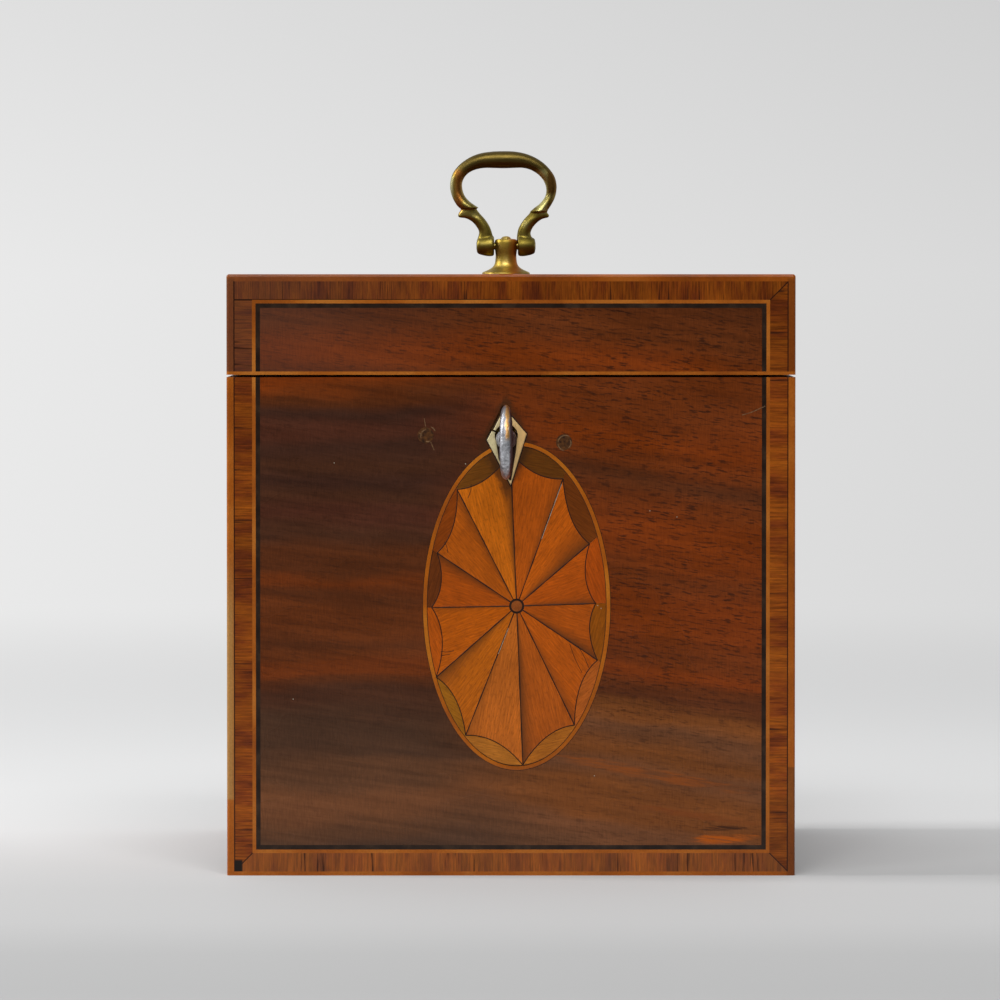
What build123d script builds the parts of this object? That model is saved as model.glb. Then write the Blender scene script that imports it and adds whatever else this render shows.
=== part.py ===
from build123d import *

import math
import os

# Square tea caddy: veneered case and hinged lid, fan patera, box lock with its key, loop handle.
# Millimetres, X to the right, Y to the back, Z up. The origin is the centre of the underside.

# Case and lid
box_width = 120.0
box_depth = 118.0
body_height = 105.3
lid_height = 21.2
joint_gap = 0.5
board = 6.0
base_thickness = 6.0
top_thickness = 5.0
lap = 3.0  # how far a side board reaches into the front and back boards
veneer = 1.5  # saw-cut veneer, and the side of the square edging strips
edging_round = 0.6

# Borders of the front and of the lid's top, from the edging inwards
foot_edging = 0.85
rim_line = 0.7
crossbanding = 3.9
boxwood_line = 0.75
ebony_line = 0.95

# Fan patera, uneven because it was cut by hand
patera_width = 39.6
patera_height = 69.4
patera_offset = 2.2  # its centre stands to the right of the key
patera_drop = 0.6  # its top is a little under the key's axis
patera_border = 0.5
ray_angles = [117, 92.3, 70, 40.6, 1.8, -33.9, -64.1, -87.8, -111.5, -138.5, -179, -213.8]
ray_shares = [0.97, 0.95, 0.935, 0.885, 0.865, 0.945, 0.97, 0.985, 0.975, 0.985, 0.93, 0.93]
scallop_share = 0.13  # depth of a scallop as a share of its chord
boss_radius = 1.6
boss_dot_radius = 1.15

# Escutcheon and keyhole, measured from the key's axis
lock_x = -1.0
key_depth = 13.0  # the key's axis below the rim
escutcheon_outline = [(-0.85, 7.15), (4.15, 1.1), (0.75, -9.55), (-4.35, 0.0)]
keyhole_radius = 2.4
keyhole_rise = 0.4  # the round of the keyhole stands a little above the key
slot_width = 2.3
slot_offset = 0.35
filled_holes = [(-17.0, 0.75), (12.2, -0.7)]
filled_hole_radius = 1.7

# Foil lining of the well
lining = 0.4
lining_drop = 3.0

# Key
shank_radius = 1.6
barrel_bore = 0.8
barrel_depth = 3.6
bit_radius = 5.4
bit_thickness = 1.2
ward_width = 0.6
ward_depth = 1.1
collar_radius = 2.2
collar_length = 1.7
collar_gap = 0.3
bow_height = 15.65
bow_length = 13.0
bow_band = 2.7
bow_thickness = 2.25
bow_spindle = 20.0
bow_standoff = 7.0
bow_offset = -0.5

# Box lock
lock_plate = 1.0
lock_margin = 6.0
cap_wall = 0.6
lock_room = 3.2  # space between the cap and the plate
bolt_thickness = 1.3
bolt_bar_rise = 3.0
bolt_bar = 1.8
bolt_stem = 1.8
nose_height = 2.0
nose_rest_gap = 1.8
talon_lead = 1.9
talon_trail = 0.95
talon_floor = 1.6
hook_width = 5.5
hook_lip = 1.6
spring_strip = 0.5

# Hinges
hinge_x = 36.0
hinge_length = 22.0
leaf_width = 6.5
leaf = 1.0
knuckle_radius = 1.5
middle_knuckle = 7.2
hinge_pin_radius = 0.7

# Screws, all of one size
screw_head_radius = 1.3
screw_head = 0.8
screw_radius = 0.6
screw_length = 4.5
hinge_screw_pitch = 7.5

# Handle, measured from the lid's top at the post
handle_x = -1.0
foot_radius = 5.25
foot_flare = [(4.95, 0.43), (3.45, 0.9), (2.35, 1.9)]
head_radius = 2.5
head_top = 7.7
head_round = 0.67
dome_radius = 1.1
pivot_height = 6.2
handle_pin_radius = 0.8
ear_radius = 2.2
ear_width = 3.68
bar_radius = 1.27
grip_radius = 1.88
grip_half_length = 5.5
loop_half_width = 10.45
loop_widest = 19.5
loop_top = 25.15
shoulder_top = 24.68
loop_end = (8.3, 14.8)
loop_leaf = [(5.73, 14.5), (9.45, 15.2), (10.4, 12.75), (7.26, 12.35)]
loop_leaf_thickness = 2.25
arm_x = 4.25
arm_straight = 8.5
arm_end = (7.88, 13.45)
stud_radius = 1.5
nut_across = 6.0
nut = 2.0
washer_radius = 4.1
washer = 0.5

# Clearances
play = 0.3  # between moving pieces
hinge_play = 0.2
pin_play = 0.05
fit_play = 0.02  # round a fixed pin or screw

# Levels and half sizes that follow
half_width = box_width / 2
half_depth = box_depth / 2
core_x = half_width - veneer
core_y = half_depth - veneer
well_x = core_x - board
well_y = core_y - board
rim = body_height
lid_bottom = rim + joint_gap
lid_top = lid_bottom + lid_height
lid_core_top = lid_top - veneer
lid_roof = lid_core_top - top_thickness
hinge_z = rim + joint_gap / 2
key_z = rim - key_depth
border = crossbanding + boxwood_line + ebony_line

top_plane = Plane.XY.offset(lid_core_top)
skin_plane = Plane(origin=(0, -core_y, 0), x_dir=(1, 0, 0), z_dir=(0, -1, 0))


def facing_front(x, y, z):
    """Plane with X to the right and Y up, facing the front, at a point."""
    return Plane(origin=(x, y, z), x_dir=(1, 0, 0), z_dir=(0, -1, 0))


def block(x, y, z, mode=Mode.ADD):
    """Box between two limits on each axis, in the part being built."""
    with Locations((sum(x) / 2, sum(y) / 2, sum(z) / 2)):
        Box(x[1] - x[0], y[1] - y[0], z[1] - z[0], mode=mode)


def slab(plane, outline, thickness):
    """Flat piece with a straight-sided outline."""
    with BuildPart() as piece:
        with BuildSketch(plane):
            with BuildLine():
                Polyline(*outline, close=True)
            make_face()
        extrude(amount=thickness)
    return piece.part


def group(solids, label):
    """Separate solids that share one node."""
    together = Compound(solids)
    together.label = label
    return together


def keyhole_outline():
    """Keyhole seen from the front: a round and the slot under it, about the key's axis."""
    slot_reach = bit_radius + play + slot_width / 4
    with BuildSketch() as hole:
        with Locations((0, keyhole_rise)):
            Circle(keyhole_radius)
        with Locations((slot_offset, -slot_reach / 2)):
            Rectangle(slot_width, slot_reach)
    return hole.sketch


def screw_shape(gap):
    """Countersunk screw pointing down from the origin, grown by a gap for the hole it sits in."""
    with BuildPart() as screw:
        with BuildSketch(Plane.XZ):
            with BuildLine():
                Polyline(
                    (0, 0),
                    (screw_head_radius + gap, 0),
                    (screw_radius + gap, -screw_head - gap),
                    (screw_radius + gap, -screw_length - gap),
                    (0, -screw_length - gap),
                    close=True,
                )
            make_face()
        revolve(axis=Axis.Z)
    return screw.part


screw = screw_shape(0)
screw_hole = screw_shape(fit_play)
keyhole = keyhole_outline()

# Places in the front wall, from the well outwards
plate_front = -well_y - lock_plate
cap_front = plate_front - lock_room - cap_wall
bolt_back = plate_front - play
bolt_front = bolt_back - bolt_thickness
key_tip = plate_front - play
bit_front = cap_front + cap_wall + play

# Heights and widths in the lock, measured from the key's axis
bolt_travel = bit_radius  # a quarter turn of the bit moves the bolt by its radius
bar_top = bolt_bar_rise + bolt_bar
hook_tip = bar_top + 2 * play
nose_bottom = hook_tip + hook_lip + play
nose_top = nose_bottom + nose_height
nose_grip = bolt_travel - nose_rest_gap
notch_depth = nose_grip + play
talon_bottom = -bit_radius - bit_thickness / 2
hook_pitch = hook_width + bolt_stem + bolt_travel + 4 * play
right_hook = talon_lead + bolt_stem + hook_width + nose_rest_gap / 2
hook_centres = [right_hook - hook_pitch, right_hook]
stem_left = hook_centres[0] - hook_width / 2 - play - bolt_travel - bolt_stem
cap_half = max(-stem_left, right_hook + hook_width / 2) + play
cap_bottom = talon_bottom - talon_floor - play - cap_wall
plate_half = cap_half + lock_margin
plate_bottom = cap_bottom - lock_plate
screw_in = cap_half + lock_margin / 2  # from the key's axis to a lock screw
lock_screw_z = [key_z + plate_bottom + screw_head_radius * 2, rim - lock_plate - screw_head_radius * 2]

hinge_screw_y = half_depth - leaf_width / 2 - knuckle_radius / 2
hinge_screw_spots = []
for side in (-1, 1):
    for step in (-1, 0, 1):
        hinge_screw_spots.append((side * hinge_x + step * hinge_screw_pitch, hinge_screw_y))
hinge_spots = [-hinge_x, hinge_x]


def cut_hinge_seat(z):
    """Recess for both hinge leaves between two levels, with room for the knuckles."""
    for x in hinge_spots:
        across = (x - hinge_length / 2, x + hinge_length / 2)
        block(across, (half_depth - leaf_width, half_depth), z, mode=Mode.SUBTRACT)
        with Locations(Location((x, half_depth, hinge_z), (0, 90, 0))):
            Cylinder(knuckle_radius + hinge_play, hinge_length, mode=Mode.SUBTRACT)


body_seat = (rim - leaf, rim)
lid_seat = (lid_bottom, lid_bottom + leaf)

# Case boards
with BuildPart() as base_board:
    block((-core_x, core_x), (-core_y, core_y), (0, base_thickness))
base_board.part.label = "base_board"

with BuildPart() as front_board:
    block((-core_x, core_x), (-core_y, -well_y), (base_thickness, rim))
    for side in (-1, 1):
        ends = sorted((side * well_x, side * core_x))
        block(ends, (-well_y - lap, -well_y), (base_thickness, rim), mode=Mode.SUBTRACT)
    plate_span = (lock_x - plate_half, lock_x + plate_half)
    cap_span = (lock_x - cap_half - cap_wall, lock_x + cap_half + cap_wall)
    block(plate_span, (plate_front, -well_y), (key_z + plate_bottom, rim), mode=Mode.SUBTRACT)
    block(plate_span, (cap_front, -well_y), (rim - lock_plate, rim), mode=Mode.SUBTRACT)
    block(cap_span, (cap_front, -well_y), (key_z + cap_bottom, rim), mode=Mode.SUBTRACT)
    with BuildSketch(facing_front(lock_x, cap_front, key_z)):
        add(keyhole)
    extrude(amount=core_y + cap_front, mode=Mode.SUBTRACT)
    for side in (-1, 1):
        for z in lock_screw_z:
            with Locations(Location((lock_x + side * screw_in, -well_y, z), (-90, 0, 0))):
                add(screw_hole, mode=Mode.SUBTRACT)
front_board.part.label = "front_board"

with BuildPart() as back_board:
    block((-core_x, core_x), (well_y, core_y), (base_thickness, rim))
    for side in (-1, 1):
        ends = sorted((side * well_x, side * core_x))
        block(ends, (well_y, well_y + lap), (base_thickness, rim), mode=Mode.SUBTRACT)
    cut_hinge_seat(body_seat)
    with Locations(*[(x, y, body_seat[1]) for x, y in hinge_screw_spots]):
        add(screw_hole, mode=Mode.SUBTRACT)
back_board.part.label = "back_board"

with BuildPart() as left_board:
    block((-core_x, -well_x), (-well_y - lap, well_y + lap), (base_thickness, rim))
left_board.part.label = "left_board"

with BuildPart() as right_board:
    block((well_x, core_x), (-well_y - lap, well_y + lap), (base_thickness, rim))
right_board.part.label = "right_board"

with BuildPart() as well_lining:
    lining_top = rim - lining_drop
    block((-well_x, well_x), (-well_y, well_y), (base_thickness, lining_top))
    inner_x = well_x - lining
    inner_y = well_y - lining
    block(
        (-inner_x, inner_x),
        (-inner_y, inner_y),
        (base_thickness + lining, lining_top),
        mode=Mode.SUBTRACT,
    )
well_lining.part.label = "well_lining"

# Patera pieces, drawn about the centre of the oval
patera_z = key_z - patera_drop - patera_height / 2
patera_plane = facing_front(lock_x + patera_offset, -core_y, patera_z)
oval_x = patera_width / 2 - patera_border
oval_y = patera_height / 2 - patera_border


def ray_end(angle, share):
    """Point on a ray, at a share of the way from the centre to the border."""
    across = math.cos(math.radians(angle))
    up = math.sin(math.radians(angle))
    length = share / math.hypot(across / oval_x, up / oval_y)
    return (length * across, length * up)


def leaf_outline(start, end):
    """One fan leaf: two rays from the centre and the hollow arc between their ends."""
    chord = math.dist(start, end)
    middle = ((start[0] + end[0]) / 2, (start[1] + end[1]) / 2)
    shrink = 1 - scallop_share * chord / math.hypot(*middle)
    with BuildSketch() as outline:
        with BuildLine():
            Line((0, 0), start)
            ThreePointArc(start, (middle[0] * shrink, middle[1] * shrink), end)
            Line(end, (0, 0))
        make_face()
    return outline.sketch


def wedge_outline(first, second):
    """Three-cornered sector between two rays, reaching well past the border."""
    far = []
    for angle in (first, second):
        turn = math.radians(angle)
        far.append((patera_height * math.cos(turn), patera_height * math.sin(turn)))
    with BuildSketch() as outline:
        with BuildLine():
            Polyline((0, 0), far[0], far[1], close=True)
        make_face()
    return outline.sketch


with BuildSketch() as escutcheon_face:
    with BuildLine():
        Polyline(*escutcheon_outline, close=True)
    make_face()

with BuildPart() as escutcheon_blank:
    with BuildSketch(facing_front(lock_x, -core_y, key_z)):
        add(escutcheon_face.sketch)
    extrude(amount=veneer)

with BuildPart() as escutcheon:
    add(escutcheon_blank.part)
    with BuildSketch(facing_front(lock_x, -core_y, key_z)):
        add(keyhole)
    extrude(amount=veneer, mode=Mode.SUBTRACT)
escutcheon.part.label = "escutcheon"

fan_leaves = []
scallops = []
for i, first in enumerate(ray_angles):
    second = ray_angles[(i + 1) % len(ray_angles)]
    start = ray_end(first, ray_shares[i])
    end = ray_end(second, ray_shares[(i + 1) % len(ray_angles)])
    leaf_face = leaf_outline(start, end)
    with BuildPart() as fan_leaf:
        with BuildSketch(patera_plane):
            add(leaf_face)
            Circle(boss_radius, mode=Mode.SUBTRACT)
        extrude(amount=veneer)
        add(escutcheon_blank.part, mode=Mode.SUBTRACT)
    fan_leaves.extend(fan_leaf.part.solids())
    with BuildPart() as scallop:
        with BuildSketch(patera_plane):
            Ellipse(oval_x, oval_y)
            add(wedge_outline(first, second), mode=Mode.INTERSECT)
            add(leaf_face, mode=Mode.SUBTRACT)
        extrude(amount=veneer)
        add(escutcheon_blank.part, mode=Mode.SUBTRACT)
    scallops.extend(scallop.part.solids())
patera_fan_leaves = group(fan_leaves, "patera_fan_leaves")
patera_scallops = group(scallops, "patera_scallops")

with BuildPart() as patera_line:
    with BuildSketch(patera_plane):
        Ellipse(patera_width / 2, patera_height / 2)
        Ellipse(oval_x, oval_y, mode=Mode.SUBTRACT)
    extrude(amount=veneer)
    add(escutcheon_blank.part, mode=Mode.SUBTRACT)
patera_line.part.label = "patera_border"

with BuildPart() as boss_ring:
    with BuildSketch(patera_plane):
        Circle(boss_radius)
        Circle(boss_dot_radius, mode=Mode.SUBTRACT)
    extrude(amount=veneer)
boss_ring.part.label = "patera_boss_ring"

with BuildPart() as boss_dot:
    with BuildSketch(patera_plane):
        Circle(boss_dot_radius)
    extrude(amount=veneer)
boss_dot.part.label = "patera_boss_dot"

with BuildPart() as hole_fillings:
    with BuildSketch(facing_front(lock_x, -core_y, key_z)):
        with Locations(*filled_holes):
            Circle(filled_hole_radius)
    extrude(amount=veneer)
hole_fillings.part.label = "hole_fillings"


# Veneers and borders
def u_border(base, far, inset, width):
    """Three mitred strips on the front: left, right and along the base, open at the far end."""
    toward = 1 if far > base else -1
    outer_x = core_x - inset
    inner_x = outer_x - width
    outer_z = base + toward * inset
    inner_z = outer_z + toward * width
    outlines = [
        [(-outer_x, far), (-outer_x, outer_z), (-inner_x, inner_z), (-inner_x, far)],
        [(outer_x, far), (outer_x, outer_z), (inner_x, inner_z), (inner_x, far)],
        [(-outer_x, outer_z), (outer_x, outer_z), (inner_x, inner_z), (-inner_x, inner_z)],
    ]
    return [slab(skin_plane, outline, veneer) for outline in outlines]


def ring_outlines(outer_x, outer_y, width):
    """Four mitred strips round a rectangle centred on the origin."""
    inner_x = outer_x - width
    inner_y = outer_y - width
    outlines = []
    for side in (-1, 1):
        outlines.append(
            [
                (-outer_x, side * outer_y),
                (outer_x, side * outer_y),
                (inner_x, side * inner_y),
                (-inner_x, side * inner_y),
            ]
        )
        outlines.append(
            [
                (side * outer_x, -outer_y),
                (side * outer_x, outer_y),
                (side * inner_x, inner_y),
                (side * inner_x, -inner_y),
            ]
        )
    return outlines


def top_border(inset, width):
    """Four mitred strips in the veneer of the lid's top."""
    outlines = ring_outlines(core_x - inset, core_y - inset, width)
    return [slab(top_plane, outline, veneer) for outline in outlines]


def edging_ring(bottom, top, round_top):
    """Four mitred edging strips round the box, with their outer arrises rounded."""
    with BuildPart() as ring:
        with BuildSketch(Plane.XY.offset(bottom)):
            Rectangle(box_width, box_depth)
        extrude(amount=top - bottom)
        upright = ring.edges().filter_by(Axis.Z)
        fillet(upright, edging_round)
        if round_top:
            fillet(ring.faces().sort_by(Axis.Z)[-1].edges(), edging_round)
        block((-core_x, core_x), (-core_y, core_y), (bottom, top), mode=Mode.SUBTRACT)
    strips = []
    for outline in ring_outlines(half_width, half_depth, 2 * veneer):
        with BuildPart() as strip:
            add(ring.part)
            with BuildSketch(Plane.XY.offset(bottom)):
                with BuildLine():
                    Polyline(*outline, close=True)
                make_face()
            extrude(amount=top - bottom, mode=Mode.INTERSECT)
        strips.append(strip.part.solid())
    return strips


def corner_strips(bottom, top):
    """Four upright edging strips, each with its outer arris rounded."""
    strips = []
    for side in (-1, 1):
        for end in (-1, 1):
            x = sorted((side * core_x, side * half_width))
            y = sorted((end * core_y, end * half_depth))
            with BuildPart() as strip:
                block(x, y, (bottom, top))
                upright = strip.edges().filter_by(Axis.Z)
                outermost = upright.sort_by(lambda edge: math.hypot(edge.center().X, edge.center().Y))[-1]
                fillet(outermost, edging_round)
            strips.append(strip.part.solid())
    return strips


panel_x = core_x - border
with BuildPart() as front_veneer:
    block((-panel_x, panel_x), (-half_depth, -core_y), (foot_edging + border, rim))
    with BuildSketch(patera_plane):
        Ellipse(patera_width / 2, patera_height / 2)
    extrude(amount=veneer, mode=Mode.SUBTRACT)
    add(escutcheon_blank.part, mode=Mode.SUBTRACT)
    add(hole_fillings.part, mode=Mode.SUBTRACT)
front_veneer.part.label = "front_veneer"

with BuildPart() as back_veneer:
    block((-core_x, core_x), (core_y, half_depth), (foot_edging, rim))
    cut_hinge_seat(body_seat)
back_veneer.part.label = "back_veneer"

with BuildPart() as left_veneer:
    block((-half_width, -core_x), (-core_y, core_y), (foot_edging, rim))
left_veneer.part.label = "left_veneer"

with BuildPart() as right_veneer:
    block((core_x, half_width), (-core_y, core_y), (foot_edging, rim))
right_veneer.part.label = "right_veneer"

front_crossbanding = group(u_border(foot_edging, rim, 0, crossbanding), "front_crossbanding")
front_boxwood_line = group(u_border(foot_edging, rim, crossbanding, boxwood_line), "front_boxwood_line")
front_ebony_line = group(
    u_border(foot_edging, rim, crossbanding + boxwood_line, ebony_line), "front_ebony_line"
)
body_edging = group(edging_ring(0, foot_edging, False) + corner_strips(foot_edging, rim), "body_edging")

# Lid boards
lid_wall = (lid_bottom, lid_roof)
with BuildPart() as lid_front_board:
    block((-core_x, core_x), (-core_y, -well_y), lid_wall)
    for side in (-1, 1):
        ends = sorted((side * well_x, side * core_x))
        block(ends, (-well_y - lap, -well_y), lid_wall, mode=Mode.SUBTRACT)
    block(plate_span, (cap_front, -well_y), (lid_bottom, lid_bottom + lock_plate), mode=Mode.SUBTRACT)
    link_screw_y = (cap_front - well_y) / 2
    for side in (-1, 1):
        with Locations(Location((lock_x + side * screw_in, link_screw_y, lid_bottom), (180, 0, 0))):
            add(screw_hole, mode=Mode.SUBTRACT)
lid_front_board.part.label = "lid_front_board"

with BuildPart() as lid_back_board:
    block((-core_x, core_x), (well_y, core_y), lid_wall)
    for side in (-1, 1):
        ends = sorted((side * well_x, side * core_x))
        block(ends, (well_y, well_y + lap), lid_wall, mode=Mode.SUBTRACT)
    cut_hinge_seat(lid_seat)
    for x, y in hinge_screw_spots:
        with Locations(Location((x, y, lid_bottom), (180, 0, 0))):
            add(screw_hole, mode=Mode.SUBTRACT)
lid_back_board.part.label = "lid_back_board"

with BuildPart() as lid_left_board:
    block((-core_x, -well_x), (-well_y - lap, well_y + lap), lid_wall)
lid_left_board.part.label = "lid_left_board"

with BuildPart() as lid_right_board:
    block((well_x, core_x), (-well_y - lap, well_y + lap), lid_wall)
lid_right_board.part.label = "lid_right_board"

recess_top = lid_roof + nut + washer + play
with BuildPart() as lid_top_board:
    block((-core_x, core_x), (-core_y, core_y), (lid_roof, lid_core_top))
    with Locations((handle_x, 0, lid_core_top)):
        Hole(stud_radius + pin_play)
    with BuildSketch(Plane(origin=(handle_x, 0, lid_roof))):
        Circle(washer_radius + play)
    extrude(amount=recess_top - lid_roof, mode=Mode.SUBTRACT)
lid_top_board.part.label = "lid_top_board"

# Lid veneers and borders
with BuildPart() as lid_top_veneer:
    block((-panel_x, panel_x), (border - core_y, core_y - border), (lid_core_top, lid_top))
    with Locations((handle_x, 0, lid_top)):
        Hole(stud_radius + pin_play)
lid_top_veneer.part.label = "lid_top_veneer"

lid_skin = (lid_bottom + rim_line, lid_core_top)
with BuildPart() as lid_front_veneer:
    block((-panel_x, panel_x), (-half_depth, -core_y), (lid_skin[0], lid_core_top - border))
lid_front_veneer.part.label = "lid_front_veneer"

with BuildPart() as lid_back_veneer:
    block((-core_x, core_x), (core_y, half_depth), lid_skin)
    cut_hinge_seat(lid_seat)
lid_back_veneer.part.label = "lid_back_veneer"

with BuildPart() as lid_left_veneer:
    block((-half_width, -core_x), (-core_y, core_y), lid_skin)
lid_left_veneer.part.label = "lid_left_veneer"

with BuildPart() as lid_right_veneer:
    block((core_x, half_width), (-core_y, core_y), lid_skin)
lid_right_veneer.part.label = "lid_right_veneer"

lid_crossbanding = group(
    u_border(lid_skin[1], lid_skin[0], 0, crossbanding) + top_border(0, crossbanding),
    "lid_crossbanding",
)
lid_boxwood_line = group(
    u_border(lid_skin[1], lid_skin[0], crossbanding, boxwood_line) + top_border(crossbanding, boxwood_line),
    "lid_boxwood_line",
)
ebony_inset = crossbanding + boxwood_line
lid_ebony_line = group(
    u_border(lid_skin[1], lid_skin[0], ebony_inset, ebony_line) + top_border(ebony_inset, ebony_line),
    "lid_ebony_line",
)
lid_edging = group(edging_ring(lid_core_top, lid_top, True) + corner_strips(*lid_skin), "lid_edging")

rim_strips = []
for ring_strip in edging_ring(lid_bottom, lid_bottom + rim_line, False):
    with BuildPart() as rim_strip:
        add(ring_strip)
        cut_hinge_seat(lid_seat)
    rim_strips.extend(rim_strip.part.solids())
lid_rim_line = group(rim_strips, "lid_rim_line")


# Hinges
def hinge_leaf(x, z, screw_turn, screw_z, own, other):
    """One leaf with its knuckles; own and other are spans along the knuckle, from the hinge's middle."""
    with BuildPart() as hinge_plate:
        block((x - hinge_length / 2, x + hinge_length / 2), (half_depth - leaf_width, half_depth), z)
        for start, end in other:
            with Locations(Location((x + (start + end) / 2, half_depth, hinge_z), (0, 90, 0))):
                Cylinder(knuckle_radius + hinge_play, end - start + 2 * hinge_play, mode=Mode.SUBTRACT)
        for start, end in own:
            with Locations(Location((x + (start + end) / 2, half_depth, hinge_z), (0, 90, 0))):
                Cylinder(knuckle_radius, end - start)
        with Locations(Location((x, half_depth, hinge_z), (0, 90, 0))):
            Cylinder(hinge_pin_radius + pin_play, hinge_length, mode=Mode.SUBTRACT)
        for step in (-1, 0, 1):
            spot = (x + step * hinge_screw_pitch, hinge_screw_y, screw_z)
            with Locations(Location(spot, (screw_turn, 0, 0))):
                add(screw_hole, mode=Mode.SUBTRACT)
    return hinge_plate.part.solid()


middle_span = [(-middle_knuckle / 2, middle_knuckle / 2)]
outer_spans = [
    (-hinge_length / 2, -middle_knuckle / 2 - hinge_play),
    (middle_knuckle / 2 + hinge_play, hinge_length / 2),
]
body_leaves = []
lid_leaves = []
for x in hinge_spots:
    body_leaves.append(hinge_leaf(x, body_seat, 0, body_seat[1], outer_spans, middle_span))
    lid_leaves.append(hinge_leaf(x, lid_seat, 180, lid_seat[0], middle_span, outer_spans))
body_hinge_leaves = group(body_leaves, "body_hinge_leaves")
lid_hinge_leaves = group(lid_leaves, "lid_hinge_leaves")

with BuildPart() as hinge_pins:
    for x in hinge_spots:
        with Locations(Location((x, half_depth, hinge_z), (0, 90, 0))):
            Cylinder(hinge_pin_radius, hinge_length)
hinge_pins.part.label = "hinge_pins"

with BuildPart() as body_hinge_screws:
    with Locations(*[(x, y, rim) for x, y in hinge_screw_spots]):
        add(screw)
body_hinge_screws.part.label = "body_hinge_screws"

with BuildPart() as lid_hinge_screws:
    for x, y in hinge_screw_spots:
        with Locations(Location((x, y, lid_bottom), (180, 0, 0))):
            add(screw)
lid_hinge_screws.part.label = "lid_hinge_screws"

# Lock
lock_face = facing_front(lock_x, bolt_back, key_z)


def lock_block(x, z, mode=Mode.ADD, y=(bolt_front, bolt_back)):
    """Box in the lock, with X and Z from the key's axis."""
    block((lock_x + x[0], lock_x + x[1]), y, (key_z + z[0], key_z + z[1]), mode=mode)


with BuildPart() as plate:
    block(plate_span, (plate_front, -well_y), (key_z + plate_bottom, rim))
    block(plate_span, (cap_front, -well_y), (rim - lock_plate, rim))
    for centre in hook_centres:
        lock_block(
            (centre - hook_width / 2 - play, centre + hook_width / 2 + play),
            (key_depth - lock_plate, key_depth),
            Mode.SUBTRACT,
            (bolt_front - 2 * play, plate_front),
        )
    for side in (-1, 1):
        for z in lock_screw_z:
            with Locations(Location((lock_x + side * screw_in, -well_y, z), (-90, 0, 0))):
                add(screw_hole, mode=Mode.SUBTRACT)
plate.part.label = "lock_plate"

with BuildPart() as cap:
    cap_top = rim - lock_plate
    block(cap_span, (cap_front, plate_front), (key_z + cap_bottom, cap_top))
    block(
        (cap_span[0] + cap_wall, cap_span[1] - cap_wall),
        (cap_front + cap_wall, plate_front),
        (key_z + cap_bottom + cap_wall, cap_top),
        mode=Mode.SUBTRACT,
    )
    with BuildSketch(facing_front(lock_x, cap_front + cap_wall, key_z)):
        add(keyhole)
    extrude(amount=cap_wall, mode=Mode.SUBTRACT)
cap.part.label = "lock_cap"

with BuildPart() as drill_pin:
    with BuildSketch(facing_front(lock_x, plate_front, key_z)):
        Circle(barrel_bore - pin_play)
    extrude(amount=barrel_depth - play - pin_play)
drill_pin.part.label = "lock_drill_pin"

with BuildPart() as bolt:
    lock_block((stem_left, talon_lead + bolt_stem), (bolt_bar_rise, bar_top))
    for centre in hook_centres:
        stem = centre - hook_width / 2 - play - bolt_travel - bolt_stem
        nose_end = centre - hook_width / 2 - nose_rest_gap
        lock_block((stem, stem + bolt_stem), (bolt_bar_rise, nose_top))
        lock_block((stem, nose_end), (nose_bottom, nose_top))
    lock_block((talon_lead, talon_lead + bolt_stem), (talon_bottom - talon_floor, bar_top))
    lock_block(
        (-talon_trail - bolt_stem, talon_lead + bolt_stem), (talon_bottom - talon_floor, talon_bottom)
    )
    lock_block(
        (-talon_trail - bolt_stem, -talon_trail), (talon_bottom - talon_floor, -bit_radius * 2 / 3)
    )
bolt.part.label = "lock_bolt"

with BuildPart() as lock_spring:
    with BuildSketch(facing_front(lock_x, plate_front, key_z)):
        with BuildLine(mode=Mode.PRIVATE):
            spring_curve = ThreePointArc(
                (-cap_half + spring_strip, talon_bottom / 2),
                (-cap_half * 2 / 3, bolt_bar_rise / 2),
                (-cap_half / 3, bolt_bar_rise - play - spring_strip / 2),
            )
        SlotArc(spring_curve, spring_strip)
    extrude(amount=play + bolt_thickness)
lock_spring.part.label = "lock_spring"

with BuildPart() as lock_screws:
    for side in (-1, 1):
        for z in lock_screw_z:
            with Locations(Location((lock_x + side * screw_in, -well_y, z), (-90, 0, 0))):
                add(screw)
lock_screws.part.label = "lock_screws"

with BuildPart() as link_plate:
    block(plate_span, (cap_front, -well_y), (lid_bottom, lid_bottom + lock_plate))
    for centre in hook_centres:
        hook_span = (centre - hook_width / 2, centre + hook_width / 2)
        lock_block(hook_span, (hook_tip, lid_bottom + lock_plate - key_z))
        lock_block(
            (hook_span[0], hook_span[0] + notch_depth),
            (nose_bottom - play, nose_top + play),
            Mode.SUBTRACT,
        )
    for side in (-1, 1):
        with Locations(Location((lock_x + side * screw_in, link_screw_y, lid_bottom), (180, 0, 0))):
            add(screw_hole, mode=Mode.SUBTRACT)
link_plate.part.label = "link_plate"

with BuildPart() as link_plate_screws:
    for side in (-1, 1):
        with Locations(Location((lock_x + side * screw_in, link_screw_y, lid_bottom), (180, 0, 0))):
            add(screw)
link_plate_screws.part.label = "link_plate_screws"

# Key
bow_back = -half_depth - bow_standoff
bow_middle = bow_back - bow_length / 2
bow_plane = Plane(origin=(lock_x + bow_offset, bow_middle, key_z), x_dir=(0, 1, 0), z_dir=(1, 0, 0))
with BuildPart() as key_bow:
    with BuildSketch(bow_plane):
        Ellipse(bow_length / 2, bow_height / 2)
        Ellipse(bow_length / 2 - bow_band, bow_height / 2 - bow_band, mode=Mode.SUBTRACT)
    extrude(amount=bow_thickness / 2, both=True)
    with BuildSketch(facing_front(lock_x + bow_offset, bow_back, key_z)):
        Ellipse(bow_thickness / 2, bow_spindle / 2)
    extrude(amount=bow_length, mode=Mode.INTERSECT)

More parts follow.
